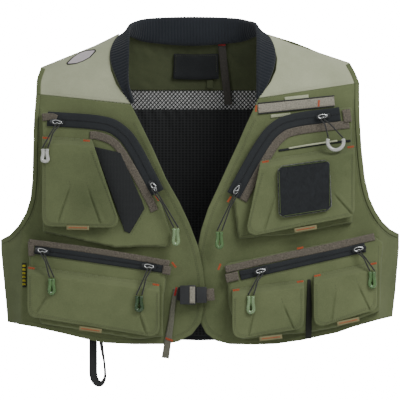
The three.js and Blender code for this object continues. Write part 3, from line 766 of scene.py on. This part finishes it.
def softened(name, node, voxel, smooth, material, body, pressure=0.0, cap=2.5):
    # the solid is remeshed finely, its corners relaxed, then swelled a little by a cloth simulation
    obj = nodeCopy(name, node, material)
    remesh = obj.modifiers.new("remesh", "REMESH")
    remesh.mode = "VOXEL"
    remesh.voxel_size = voxel * mm
    relax = obj.modifiers.new("relax", "SMOOTH")
    relax.iterations = smooth
    relax.factor = 0.5
    replaceMesh(obj, bakedCopy(obj))
    if pressure:
        swellCloth(obj, pressure, cap)
        finer = obj.modifiers.new("finer", "SUBSURF")
        finer.levels = finer.render_levels = 1
        replaceMesh(obj, bakedCopy(obj))
    obj.data.polygons.foreach_set("use_smooth", [True] * len(obj.data.polygons))
    declare(obj, body, node)
    return obj


swell = dict(frames=20, quality=5, mass=0.3, stretch=15, bend=0.5)


def swellCloth(obj, pressure, cap):
    # Blender cloth under pressure, no gravity; no point may move further than the cap
    start = places(obj)
    cloth = obj.modifiers.new("cloth", "CLOTH")
    cloth.settings.quality = swell["quality"]
    cloth.settings.mass = swell["mass"]
    cloth.settings.tension_stiffness = swell["stretch"]
    cloth.settings.compression_stiffness = swell["stretch"]
    cloth.settings.bending_stiffness = swell["bend"]
    cloth.settings.use_pressure = True
    cloth.settings.uniform_pressure_force = pressure
    cloth.settings.effector_weights.gravity = 0
    cloth.collision_settings.use_collision = False
    cloth.point_cache.frame_start = 1
    cloth.point_cache.frame_end = swell["frames"]
    for frameNumber in range(1, swell["frames"] + 1):
        bpy.context.scene.frame_set(frameNumber)
    mesh = bakedCopy(obj)
    bpy.context.scene.frame_set(1)
    replaceMesh(obj, mesh)
    moved = places(obj) - start
    size = np.linalg.norm(moved, axis=1)[:, None]
    setPlaces(obj, start + moved * np.minimum(1, cap * mm / np.maximum(size, 1e-9)))


pleatShape = dict(ridge=1.7, ridgeAt=2.6, ridgeWide=2.4, groove=2.6, grooveAt=-0.6, grooveWide=1.5)


def creaseSoft(obj, amount, seed, size, keepBack=True, pleats=(), crown=0.0, ceiling=9.0):
    # wrinkles and pleats on the front-facing side, pushed along -Y; the back stays where it is
    co = places(obj)
    n = normals(obj)
    x, z = co[:, 0] / mm, co[:, 2] / mm
    facing = np.clip(-n[:, 1], 0, 1) if keepBack else np.ones(len(co))
    low, high = co.min(axis=0) / mm, co.max(axis=0) / mm
    u = np.clip((x - low[0]) / (high[0] - low[0]), 0, 1)
    v = np.clip((z - low[2]) / (high[2] - low[2]), 0, 1)
    dome = np.sin(np.pi * u) * np.sin(np.pi * np.clip(v, 0, 0.95))
    push = amount * (folds(x, z, seed, size) - 0.3) + crown * dome
    g = pleatShape
    for x0, z0, x1, z1 in pleats:
        along = np.array([x1 - x0, z1 - z0])
        length = np.linalg.norm(along)
        along = along / length
        rel = np.stack([x - x0, z - z0], axis=1)
        run = rel @ along
        off = rel @ np.array([-along[1], along[0]])
        fade = np.clip(run / 12, 0, 1) * np.clip((length - run) / 6 + 1, 0, 1)
        ridge = g["ridge"] * np.exp(-((off - g["ridgeAt"]) / g["ridgeWide"]) ** 2)
        groove = g["groove"] * np.exp(-((off - g["grooveAt"]) / g["grooveWide"]) ** 2)
        push += fade * (ridge - groove)
    co[:, 1] -= np.minimum(push, ceiling) * facing * mm
    setPlaces(obj, co)


zipPockets = dict(
    chest_zip_pocket_right=dict(seed=71, cap=2.2), chest_zip_pocket_left=dict(seed=73, cap=2.2),
    lower_zip_pocket_right=dict(seed=79, cap=1.8), lower_zip_pocket_left=dict(seed=83, cap=1.8))
pocketPieces = {}
for node, s in zipPockets.items():
    pocket = softened("bag_" + node, node, 3.2, 5, oliveCloth, "garment",
                      pressure=3.0, cap=s["cap"])
    creaseSoft(pocket, 1.0, s["seed"], 70.0)
    co = places(pocket)
    # the face stays behind the zip tape that is sewn on it
    limit = facetPlane(co[:, 0] / mm, layers["pocket"]) * mm
    co[:, 1] = np.maximum(co[:, 1], limit)
    setPlaces(pocket, co)
    pocketPieces[node] = pocket
print("vest: zip pockets made")

flaps = dict(
    chest_right=dict(x0=-237, z0=-140, x1=-122, z1=-148, low=(-277, -279), corner=14, taper=(0, 42),
                     pleats=[(-194, -216, -211, -266), (-168, -218, -150, -268)], label=(-183, -275.5)),
    chest_left=dict(x0=70, z0=-181, x1=232, z1=-153, low=(-290, -264), corner=14, taper=(22, 0),
                    pleats=[(113, -232, 97, -280), (199, -226, 226, -256)], label=(158, -277)),
    cargo_right=dict(x0=-259, z0=-335, x1=-60, z1=-361, low=(-414, -441), corner=16,
                     pleats=[(-226, -378, -244, -405), (-92, -402, -82, -432)], label=(-164, -428)),
    cargo_inner_left=dict(x0=48, z0=-369, x1=156, z1=-355, low=(-444, -432), corner=16,
                          pleats=[(82, -402, 74, -436), (124, -392, 139, -426)], label=(106, -440)),
    cargo_outer_left=dict(x0=170, z0=-348, x1=266, z1=-328, low=(-426, -405), corner=14,
                          pleats=[(204, -372, 198, -414), (236, -362, 254, -400)], label=(222, -416)),
)
flapPieces = {}
for index, (side, s) in enumerate(flaps.items()):
    body = side + "_flap"
    pouch = softened("pouch_" + side, side + "_pocket", 1.7, 4, oliveCloth, "garment")
    creaseSoft(pouch, 0.5, 90 + index, 40.0)
    flap = softened("flap_" + side, body, 1.3, 3, oliveCloth, body)
    creaseSoft(flap, 0.9, 101 + index, 46.0, keepBack=False, pleats=s["pleats"], crown=1.1,
               ceiling=0.9)
    flapPieces[side] = flap
    pocketPieces[side] = pouch
print("vest: flaps made")

stretch = softened("knit_stretch_panel", "stretch_panel", 0.8, 2, stretchKnit, "garment")
patch = softened("fleece_fly_patch", "fly_patch", 1.5, 5, fleeceCloth, "chest_left_flap")
co = places(patch)
fuzz = rng.normal(0, 0.28, len(co))[:, None] * normals(patch)
setPlaces(patch, co + fuzz * mm)


def caster(targets):
    # finds the outermost surface of the given pieces in front of a place
    graph = bpy.context.evaluated_depsgraph_get()
    trees = [BVHTree.FromObject(t, graph) for t in targets]

    def hit(x, z, fallback):
        best = None
        for tree in trees:
            found = tree.ray_cast(Vector((x * mm, -0.3, z * mm)), Vector((0, 1, 0)))[0]
            if found is not None and (best is None or found.y < best):
                best = found.y
        return fallback if best is None else best / mm
    return hit


def strapAlong(name, path, width, material, surface, body="garment", thickness=1.0, lift=0.3,
               crown=0.25, across=7):
    # a flat band: the path's normal in the front view carries it sideways, a low crown lifts its middle
    path = np.asarray(path, float)
    count = max(4, int(pathLength(path) / 2.2))
    p = resample(splineThrough(path, 12) if len(path) > 2 else path, count)
    tangent = np.gradient(p, axis=0)
    tangent /= np.linalg.norm(tangent, axis=1)[:, None]
    side = np.stack([-tangent[:, 1], tangent[:, 0]], axis=1)
    wide = np.interp(np.linspace(0, 1, count), np.linspace(0, 1, np.size(width)), np.ravel(width))
    f = np.linspace(-0.5, 0.5, across)
    xz = p[:, None] + side[:, None] * (wide[:, None] * f[None])[..., None]
    y = np.array([[surface(a, b) for a, b in row] for row in xz])
    sink = 1.2  # how far an edge may drop behind the middle line
    y = np.minimum(y, y[:, across // 2][:, None] + sink)
    y = y - (lift + thickness + crown * (1 - (2 * f) ** 2)[None])
    verts = np.stack([xz[..., 0], y, xz[..., 1]], axis=-1)
    run = np.concatenate([[0], np.cumsum(np.linalg.norm(np.diff(p, axis=0), axis=1))])
    uv = np.stack([(wide[:, None] * f[None]) + 50, run[:, None] + 0 * f[None]], axis=-1)
    obj = addMesh(name, verts.reshape(-1, 3) * mm, gridFaces(count, across), material,
                  uv=uv.reshape(-1, 2))
    if sum(q.normal.y * q.area for q in obj.data.polygons) > 0:
        obj.data.flip_normals()
    addThickness(obj, thickness)
    declare(obj, body)
    return obj


def onForm(x, z):
    return float(formY(x, z, form["cloth"]))


def onFacet(out):
    return lambda x, z: float(facetPlane(x, out))


def onNeck(lift):
    # inside the back of the neck, the given distance in front of it
    return lambda x, z: float(formY(x, z, 0.0, True)) - lift


onPocket = onFacet(layers["pocket"])


def sideways(path, distance):
    # the same path moved sideways in the front view
    p = splineThrough(np.asarray(path, float), 6)
    tangent = np.gradient(p, axis=0)
    tangent /= np.linalg.norm(tangent, axis=1)[:, None]
    return p + np.stack([-tangent[:, 1], tangent[:, 0]], axis=1) * distance


zipPaths = dict(
    zip_tape_chest_right=dict(width=22, path=[(-229, -115), (-150, -121.5), (-120, -134), (-98, -161),
                                              (-64, -226)]),
    zip_tape_chest_left=dict(width=21, path=[(210, -108), (142, -117.5), (112, -131), (88, -162),
                                             (50, -230)]),
    zip_tape_lower_right=dict(width=14, path=[(-248, -311), (-152, -325), (-56, -339)]),
    zip_tape_lower_left=dict(width=14, path=[(60, -350), (152, -329.5), (248, -308)]),
)


def coilTeeth(name, path, s):
    # two rows of small rounded teeth that mesh along the middle of the tape
    p = resample(splineThrough(np.asarray(path, float), 16), int(pathLength(np.asarray(path)) / s["pitch"]))
    tangent = np.gradient(p, axis=0)
    tangent /= np.linalg.norm(tangent, axis=1)[:, None]
    side = np.stack([-tangent[:, 1], tangent[:, 0]], axis=1)
    which = np.where(np.arange(len(p)) % 2 == 0, 1, -1)[:, None]
    middle = p + side * which * s["shift"]
    corners = [(-1, -1), (1, -1), (1, 1), (-1, 1)]
    verts = []
    for out, shrink in ((s["base"], 1.0), (s["top"], 0.6)):
        for a, b in corners:
            place = middle + tangent * a * s["long"] * shrink + side * b * s["wide"] * shrink
            verts.append(np.stack([place[:, 0], facetPlane(place[:, 0], out), place[:, 1]], axis=-1))
    verts = np.stack(verts, axis=1).reshape(-1, 3)
    base = np.arange(len(p))[:, None, None] * 8
    box = np.array([[0, 1, 2, 3], [7, 6, 5, 4], [0, 4, 5, 1], [1, 5, 6, 2], [2, 6, 7, 3], [3, 7, 4, 0]])
    obj = addMesh(name, verts * mm, (base + box[None]).reshape(-1, 4), coilPlastic, smooth=False)
    fixNormals(obj)
    declare(obj, "garment")


teeth = dict(pitch=1.2, shift=0.35, long=0.42, wide=0.7, base=15.2, top=15.75)
for node, s in zipPaths.items():
    tape = strapAlong("cloth_" + node, s["path"], s["width"], zipCloth, onPocket, thickness=0.9, lift=0.3,
                      crown=0.0)
    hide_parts(node)
    coilTeeth("teeth_" + node, s["path"], teeth)
print("vest: zips made")

overZips = onFacet(15.6)
onWelt = onFacet(14.8)

# taupe bindings beside the zips, their end tabs, and the chest strap
trims = [
    ("binding_chest_right", sideways([(-165, -124.5), (-150, -125.5), (-122, -137), (-100, -163),
                                      (-64, -226), (-54, -247)], -15.5), 12, taupeWeb, onPocket),
    ("binding_chest_left", sideways([(222, -107), (142, -117.5), (112, -131), (88, -162), (50, -230)],
                                    16.5), 12, taupeWeb, onPocket),
    ("binding_lower_right", [(-257, -300), (-186, -309), (-108, -321), (-46, -332)], 9, taupeWeb, onPocket),
    ("binding_lower_left", [(38, -341), (114, -324), (192, -308), (262, -292)], 11, taupeWeb, onPocket),
    ("tab_chest_right", [(-237, -113), (-224, -112), (-215, -115)], 11, taupeWeb, overZips),
    ("tab_chest_left", [(219, -101), (222, -120)], 12, taupeWeb, overZips),
    ("tab_lower_right", [(-254, -299), (-253, -321)], 9, taupeWeb, onPocket),
    ("tab_lower_right_inner", [(-56, -341), (-44, -343)], 13, taupeWeb, overZips),
    ("tab_lower_left", [(38.5, -354.5), (57.5, -350)], 13, taupeWeb, overZips),
    ("welt_shadow", [(118, -163), (150, -158), (190, -152), (226, -148)], 3.2, blackCloth, onPocket),
    ("welt_pale", [(133, -159.5), (166, -154), (206, -148)], 2.6, sageCloth, onWelt),
    # a near-black strip on the pocket face between the two cargo pockets: painted shade of the deep gap
    # there, not a real part
    ("shade_cargo_gap", [(163.5, -356), (163.5, -400), (162.5, -445)], [4.5, 8, 9], cargoGapShade, onPocket),
    ("backing_strap_high", [(127, -85), (163, -81)], 5, sageCloth, onForm),
    ("backing_strap_low", [(106, -111.5), (136, -108.5)], 5, sageCloth, onForm),
    ("web_chest_strap", [(87, -100), (145, -94), (202, -88)], 15, lightWeb, onForm),
    ("edge_chest_strap_low", [(87, -107.8), (145, -101.8), (202, -95.8)], 1.6, blackWeb, onForm),
    ("edge_chest_strap_high", [(87, -92.2), (145, -86.2), (202, -80.2)], 1.6, blackWeb, onForm),
]
for name, path, width, material, surface in trims:
    lift = 1.2 if name.startswith("edge") else 0.4
    strapAlong(name, path, width, material, surface, thickness=1.0, lift=lift)


def onYokeEdge(x, z):
    return onForm(x, z) - 0.4


armholeBinding = dict(inset=3.4, width=6.6, thickness=1.1, lift=0.1)
for name, path, side, surface in (
        ("armhole_right", rightArmhole, 1, onForm), ("armhole_left", leftArmhole, -1, onForm),
        ("yoke_armhole_right", [(-240, -37), (-246, -56), (-247, -78)], 1, onYokeEdge),
        ("yoke_armhole_left", [(226, -30), (234, -45), (240, -60.5)], -1, onYokeEdge)):
    b = armholeBinding
    strapAlong("binding_" + name, sideways(path, b["inset"] * side), b["width"], oliveCloth, surface,
               thickness=b["thickness"], lift=b["lift"])

# the net loop: one tape, folded at the bottom; its front leg faces forwards, its other leg stands edge on
loopShape = dict(path=[(-160.5, -46, -437), (-160.5, -47, -480), (-160, -48, -500), (-156, -48, -510),
                       (-150, -48, -513), (-145, -48, -509), (-142.5, -48, -500), (-144, -47.5, -480),
                       (-148, -46, -455), (-149, -45, -437)],
                 facing=[0.08, 0.08, 0.12, 0.5, 0.9, 1.2, 1.36, 1.4, 1.2, 1.0], width=12.0, thickness=1.5)


def foldedTape(name, s, material):
    # a band whose flat side turns from facing forwards to standing edge on, by the angle at each station
    path = splineThrough(s["path"], 12)
    along = np.gradient(path, axis=0)
    along /= np.linalg.norm(along, axis=1)[:, None]
    turn = np.interp(np.linspace(0, 1, len(path)), np.linspace(0, 1, len(s["facing"])), s["facing"])
    front = np.cross(along, (0, 1, 0))
    front /= np.linalg.norm(front, axis=1)[:, None]
    across = front * np.cos(turn)[:, None] + np.array([0, 1.0, 0]) * np.sin(turn)[:, None]
    f = np.linspace(-0.5, 0.5, 7)
    verts = path[:, None] + across[:, None] * (f * s["width"])[None, :, None]
    run = np.concatenate([[0], np.cumsum(np.linalg.norm(np.diff(path, axis=0), axis=1))])
    uv = np.stack([f[None] * s["width"] + 0 * run[:, None], run[:, None] + 0 * f[None]], axis=-1)
    obj = addMesh(name, verts.reshape(-1, 3) * mm, gridFaces(len(path), 7), material, uv=uv.reshape(-1, 2))
    addThickness(obj, s["thickness"], 0.0)
    return obj


netLoop = foldedTape("web_net_loop", loopShape, blackWeb)
declare(netLoop, "net_loop", "net_loop")

# hanging tapes
neckTape = strapAlong("web_neck_tape", [(32.5, 1), (37, -40), (43.5, -92)], 11.5, brownWeb,
                      onNeck(3.6), thickness=1.1, lift=0)
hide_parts("neck_tape")
tailPath = [(-36, -369), (-40.5, -395), (-43.5, -420), (-48, -447), (-52, -474)]
strapTail = strapAlong("web_strap_tail", tailPath,
                       [6, 7, 8.5, 10.5, 11.5], tailWeb, onFacet(3.2),
                       body="strap_tail", thickness=1.4, lift=0.2)
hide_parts("strap_tail")
print("vest: bindings and tapes made")


def bevelled(name, node, width, material, body):
    # the CAD piece with its edges rounded
    obj = nodeCopy(name, node, material)
    bevel = obj.modifiers.new("rounding", "BEVEL")
    bevel.width = width * mm
    bevel.segments = 3
    bevel.limit_method = "ANGLE"
    bevel.angle_limit = math.radians(28)
    replaceMesh(obj, bakedCopy(obj))
    obj.data.polygons.foreach_set("use_smooth", [True] * len(obj.data.polygons))
    obj.data.set_sharp_from_angle(angle=math.radians(50))
    declare(obj, body, node)
    return obj


eye = dict(out=20.9, half=2.25, tall=1.5, drop=2.2, rise=0.9, wire=0.75, steps=28)
pullerRing = dict(out=22.4, long=6.8, half=2.6, taper=0.35, wire=0.95)
for name, p in pullTable.items():
    bevelled("cast_" + name + "_slider", name + "_slider", 0.55, sliderMetal, name + "_slider")
    # the wire eye that the cord loops through, standing out from the tab
    turn = np.linspace(0, 2 * np.pi, eye["steps"])
    ring = np.stack([p["x"] + eye["half"] * np.cos(turn),
                     facetPlane(p["x"], eye["out"]) - eye["tall"] * (1 + np.sin(turn)),
                     p["z"] - eye["drop"] + eye["rise"] * np.sin(turn)], axis=-1)
    wire = tubeMesh("eye_" + name, ring, eye["wire"], 8, brightMetal)
    declare(wire, name + "_slider")
    # the puller: a long tapering ring lying on the slider, along the zip
    g = pullerRing
    slope = math.atan(p["slope"])
    run = g["long"] * np.cos(turn)
    off = g["half"] * np.sin(turn) * (1 - g["taper"] * np.cos(turn))
    px = p["x"] + run * math.cos(slope) - off * math.sin(slope)
    pz = p["z"] + run * math.sin(slope) + off * math.cos(slope)
    route = np.stack([px, facetPlane(px, g["out"]), pz], axis=-1)
    puller = tubeMesh("puller_" + name, route, g["wire"], 8, brightMetal)
    declare(puller, name + "_slider")

bevelled("moulded_buckle_socket", "buckle_socket", 1.1, bucklePlastic, "garment")
bevelled("moulded_buckle_plug", "buckle_plug", 1.1, bucklePlastic, "buckle_plug")
for side in ("upper", "lower"):
    bevelled("moulded_latch_" + side, "buckle_latch_" + side, 0.8, bucklePlastic,
             "buckle_latch_" + side)
buckleFace = dict(wrapY=-88.4, leftWebY=-83.5)
strapAlong("web_buckle_wrap", [(-11.5, -366.5), (-11.5, -391.5)], 8, lightWeb,
           lambda x, z: buckleFace["wrapY"], thickness=1.2, lift=0.0)
strapAlong("web_buckle_right", [(-34, -377), (-27, -378)], 20, blackWeb, onFacet(3.4), thickness=1.6,
           lift=0.3)
strapAlong("web_buckle_left", [(8.5, -379), (21.5, -378)], 18, taupeWeb,
           lambda x, z: buckleFace["leftWebY"], body="buckle_plug", thickness=1.6, lift=0.3)
print("vest: sliders and buckle made")

stitchBook = {}


def stitchRow(path, surface, body="garment", thread="olive", spacing=3.1, length=2.1, radius=0.3,
              rise=0.12, back=False):
    # places stitches along a path; they are gathered here and built as one mesh per body and thread
    p = np.asarray(path, float)
    count = max(2, int(pathLength(p) / spacing))
    p = resample(p, count * 2 + 1)[1::2]
    tangent = np.gradient(p, axis=0)
    tangent /= np.linalg.norm(tangent, axis=1)[:, None]
    sign = 1 if back else -1
    y = np.array([surface(a, b) for a, b in p]) + sign * rise
    slope = np.gradient(y) / spacing
    middle = np.stack([p[:, 0], y, p[:, 1]], axis=-1)
    along = np.stack([tangent[:, 0], slope, tangent[:, 1]], axis=-1) * length / 2
    wide = np.stack([-tangent[:, 1], 0 * y, tangent[:, 0]], axis=-1) * radius
    tall = np.zeros_like(wide)
    tall[:, 1] = sign * radius
    ends = [middle - along, middle + along]
    ring = [middle + along * f + wide * a + tall * b for f in (-0.62, 0.62)
            for a, b in ((1, 0), (0, 1), (-1, 0), (0, -0.6))]
    stitchBook.setdefault((body, thread), []).append(np.stack(ends + ring, axis=1))


def buildStitches():
    fan = [[0, 2 + (k + 1) % 4, 2 + k] for k in range(4)] + [[1, 6 + k, 6 + (k + 1) % 4] for k in range(4)]
    sides = [[2 + k, 2 + (k + 1) % 4, 6 + (k + 1) % 4, 6 + k] for k in range(4)]
    for (body, thread), rows in stitchBook.items():
        points = np.concatenate(rows)
        base = np.arange(len(points)) * 10
        faces = [tuple(b + i for i in f) for b in base for f in fan + sides]
        obj = addMesh("stitches_" + body + "_" + thread, points.reshape(-1, 3) * mm, faces, threads[thread])
        fixNormals(obj)
        declare(obj, body)


def barTack(x, z, surface, angle, body="garment", length=9.0, width=2.4, thread="orange"):
    # a dense zigzag: short stitches side by side across a narrow bar
    count = int(length / 0.75)
    f = np.linspace(-0.5, 0.5, count)
    c, s = math.cos(angle), math.sin(angle)
    for i, g in enumerate(f):
        lean = 0.25 if i % 2 else -0.25
        a = (x + c * g * length - s * width / 2 + c * lean, z + s * g * length + c * width / 2 + s * lean)
        b = (x + c * g * length + s * width / 2 - c * lean, z + s * g * length - c * width / 2 - s * lean)
        stitchRow([a, ((a[0] + b[0]) / 2, (a[1] + b[1]) / 2), b], surface, body, thread, spacing=width,
                  length=width, radius=0.42, rise=0.35)


def surfaceOf(hit, guess):
    return lambda x, z: hit(x, z, guess(x, z))


fleeceFace = surfaceOf(caster([patch]), onFacet(38.3))
rightCloth = surfaceOf(caster([frontRight]), onForm)
leftCloth = surfaceOf(caster([frontLeft]), onForm)
for distance in (7.5, 9.6):
    stitchRow(sideways(rightPlacket, -distance)[4:-4], rightCloth)
    stitchRow(sideways(leftPlacket, distance)[4:-4], leftCloth)
stitchRow(sideways(rightHem, 7)[4:-4], rightCloth)
stitchRow(sideways(leftHem, 7)[4:-4], leftCloth)
for distance, thread in ((7.4, "black"), (9.6, "olive")):
    stitchRow(sideways(rightArmhole, distance)[3:-3], rightCloth, thread=thread)
    stitchRow(sideways(leftArmhole, -distance)[3:-3], leftCloth, thread=thread)
yokeCloth = surfaceOf(caster([yokeRight, yokeLeft]), onForm)
for distance in (2.0, 4.2):
    stitchRow(sideways(rightSeam, distance)[2:-2], yokeCloth, thread="pale")
    stitchRow(sideways(leftSeam, distance)[2:-2], yokeCloth, thread="pale")


def backCloth(x, z):
    return float(formY(x, z, form["cloth"] + 0.6, True))


for distance in (3.0, 5.0):
    stitchRow([(-238, -101 - distance), (0, -101 - distance), (230, -101 - distance)], backCloth, back=True)
    stitchRow([(-240, -70 + distance), (0, -70 + distance), (230, -70 + distance)], backCloth,
              thread="pale", back=True)


def flapOutline(s, inset):
    # down one side, round the two lower corners, and up the other side
    x0, x1 = s["x0"] + inset, s["x1"] - inset
    taper = s.get("taper", (0, 0))
    low0, low1 = s["low"][0] + inset, s["low"][1] + inset
    r = s["corner"]
    f = np.linspace(0, 1, 8)[:, None]

    def bend(a, b, c):
        a, b, c = (np.array(q, float) for q in (a, b, c))
        return (1 - f) ** 2 * a + 2 * f * (1 - f) * b + f ** 2 * c
    start = [(x0 + taper[0] * 0.88, s["z0"] - 15)]
    end = [(x1 - taper[1] * 0.88, s["z1"] - 15)]
    firstCorner = bend((x0, low0 + r), (x0, low0), (x0 + r, low0))
    lastCorner = bend((x1 - r, low1), (x1, low1), (x1, low1 + r))
    return np.vstack([start, firstCorner, lastCorner, end])


def hingePlace(s, end, inset, drop):
    # a place beside one end of a flap's top edge
    taper = s.get("taper", (0, 0))
    x = s["x1"] - taper[1] - inset if end else s["x0"] + taper[0] + inset
    return x, s["z0"] + (s["z1"] - s["z0"]) * (x - s["x0"]) / (s["x1"] - s["x0"]) - drop


for side, s in flaps.items():
    body = side + "_flap"
    hit = surfaceOf(caster([flapPieces[side]]), onFacet(29.6))
    for inset in (3.4, 5.2):
        stitchRow(flapOutline(s, inset), hit, body)
    for drop in (2.6, 4.6):
        stitchRow([hingePlace(s, 0, 3, drop), hingePlace(s, 1, 3, drop)], hit, body)
    for x0, z0, x1, z1 in s["pleats"]:
        stitchRow([(x0 - 2, z0 + 9), (x0, z0)], hit, body)
    slant = math.atan2(s["z1"] - s["z0"], s["x1"] - s["x0"])
    for end in (0, 1):
        barTack(*hingePlace(s, end, 6, 3.5), hit, slant, body)
    lx, lz = s["label"]
    low = math.atan2(s["low"][1] - s["low"][0], s["x1"] - s["x0"])
    c, t = math.cos(low), math.sin(low)
    strapAlong("label_" + side, [(lx - 17 * c, lz - 17 * t - 3), (lx + 17 * c, lz + 17 * t - 3)], 6.5,
               leatherTab, onFacet(30.2), body=body, thickness=0.9, lift=0.5)
    stitchRow([(lx - 14 * c, lz - 14 * t - 3), (lx + 14 * c, lz + 14 * t - 3)],
              onFacet(31.8), body, thread="orange", spacing=2.0, length=1.5, radius=0.9)

pocketFace = {node: surfaceOf(caster([pocketPieces[node]]), onPocket) for node in zipPockets}
seams = [
    ("chest_zip_pocket_right", [(-232, -284), (-130, -306), (-52, -304)]),
    ("chest_zip_pocket_right", [(-117, -164), (-100, -200), (-84, -238), (-80, -250), (-104, -290)]),
    ("chest_zip_pocket_left", [(60, -290), (134, -287), (225, -268)]),
    ("lower_zip_pocket_right", [(-254, -304), (-255, -380), (-238, -418)]),
    ("lower_zip_pocket_left", [(268, -305), (267, -398), (207, -424)]),
]
for node, path in seams:
    stitchRow(path, pocketFace[node])
for name, s in zipPaths.items():
    for distance in (s["width"] / 2 + 1.6, -s["width"] / 2 - 1.6):
        stitchRow(sideways(s["path"], distance), onPocket, rise=0.3)
for x, z, angle in ((-64, -234, -1.0), (178, -92, 1.5), (84, -100, 1.5), (44, -236, 1.0),
                    (-39, -334, -0.9), (29, -337, 1.2), (150, -309, 0.2)):
    barTack(x, z, onFacet(15.8), angle)
barTack(-46, -446, onFacet(5.4), -0.35, body="strap_tail", length=11)
barTack(-36.5, -374, onFacet(5.6), 1.35, thread="red", length=12)

# neck patch: a plain woven rectangle with a stitched border, and a small size tab without lettering
strapAlong("patch_inside_neck", [(-40, -34), (-6, -35), (28, -34)], 38, blackCloth,
                       onNeck(2.2), thickness=0.8, lift=0)
strapAlong("tab_inside_neck", [(15, -54), (15, -68)], 10, oliveDark,
           onNeck(2.6), thickness=0.6, lift=0)
insideNeck = onNeck(3.6)
stitchRow([(-37, -18), (25, -18), (25, -51), (-37, -51), (-37, -18)], insideNeck, thread="olive")
barTack(-32, -48.5, insideNeck, 0.0, length=9, thread="red")
barTack(33, -1.5, onNeck(5.6), 0.0, length=10, thread="red")
strapAlong("tag_side", [(-264.5, -332), (-264, -368)], 6, blackCloth, rightCloth, thickness=0.9, lift=0.3)
for z in np.arange(-336, -366, -5.5):
    barTack(-264.6, z, lambda a, b: rightCloth(-264, z) - 1.2, 0.0, length=3.8, width=2.6, thread="yellow")
for x0, z0, x1, z1 in ((121, -188, 190, -179), (194, -184, 194, -246), (189, -251, 125, -261),
                       (120, -257, 118, -194)):
    stitchRow([(x0, z0), ((x0 + x1) / 2, (z0 + z1) / 2), (x1, z1)], fleeceFace, "chest_left_flap",
              thread="green", spacing=1.8, length=1.9, radius=0.6, rise=0.7)
shoulder = dict(path=[(-199, -31), (-189, -26.5), (-179, -21.5), (-169, -17), (-159, -12)],
                width=[1.2, 9.5, 12.5, 10.5, 1.2])
for name, grow, lift, material in (("rim", 1.8, 0.2, blackCloth), ("face", 0.0, 0.7, patchLilac)):
    path = np.array(shoulder["path"], float)
    path[0] += (-grow, -grow * 0.5)
    path[-1] += (grow, grow * 0.5)
    wide = np.array(shoulder["width"], float) + grow
    strapAlong("patch_shoulder_" + name, path, wide, material, yokeCloth, thickness=0.6, lift=lift)
buildStitches()
print("vest: stitching made")

world = bpy.data.worlds.new("studio")
bpy.context.scene.world = world
world.use_nodes = True
tree = world.node_tree
ambient = tree.nodes["Background"]
ambient.inputs["Color"].default_value = (1, 1, 1, 1)
ambient.inputs["Strength"].default_value = 0.5
# what the camera sees behind the vest is a brighter white than what lights it
backdrop = addNode(tree, "ShaderNodeBackground", Color=(1, 1, 1, 1), Strength=18.0)
seen = addNode(tree, "ShaderNodeLightPath")
choose = addNode(tree, "ShaderNodeMixShader")
tree.links.new(seen.outputs["Is Camera Ray"], choose.inputs["Fac"])
tree.links.new(ambient.outputs[0], choose.inputs[1])
tree.links.new(backdrop.outputs[0], choose.inputs[2])
tree.links.new(choose.outputs[0], tree.nodes["World Output"].inputs["Surface"])
floor = addMesh("floor", [(-1.4, -1.2, -0.72), (1.4, -1.2, -0.72), (1.4, 1.4, -0.72), (-1.4, 1.4, -0.72)],
                [(0, 1, 2, 3)], hardMaterial("floorPaint", (236, 236, 234), 0.8))


def areaLight(name, place, aim, size, power):
    data = bpy.data.lights.new(name, "AREA")
    data.size = size
    data.energy = power
    obj = bpy.data.objects.new(name, data)
    obj.location = place
    obj.rotation_euler = (Vector(aim) - Vector(place)).to_track_quat("-Z", "Y").to_euler()
    bpy.context.scene.collection.objects.link(obj)


areaLight("keyLight", (0.95, -1.2, 0.85), (0.06, 0, -0.12), 0.8, 22)
areaLight("fillLight", (-1.4, -1.5, 0.4), (0, 0, -0.2), 1.2, 5.5)
areaLight("rimLight", (0.3, 1.6, 1.2), (0, 0, -0.2), 1.2, 10)
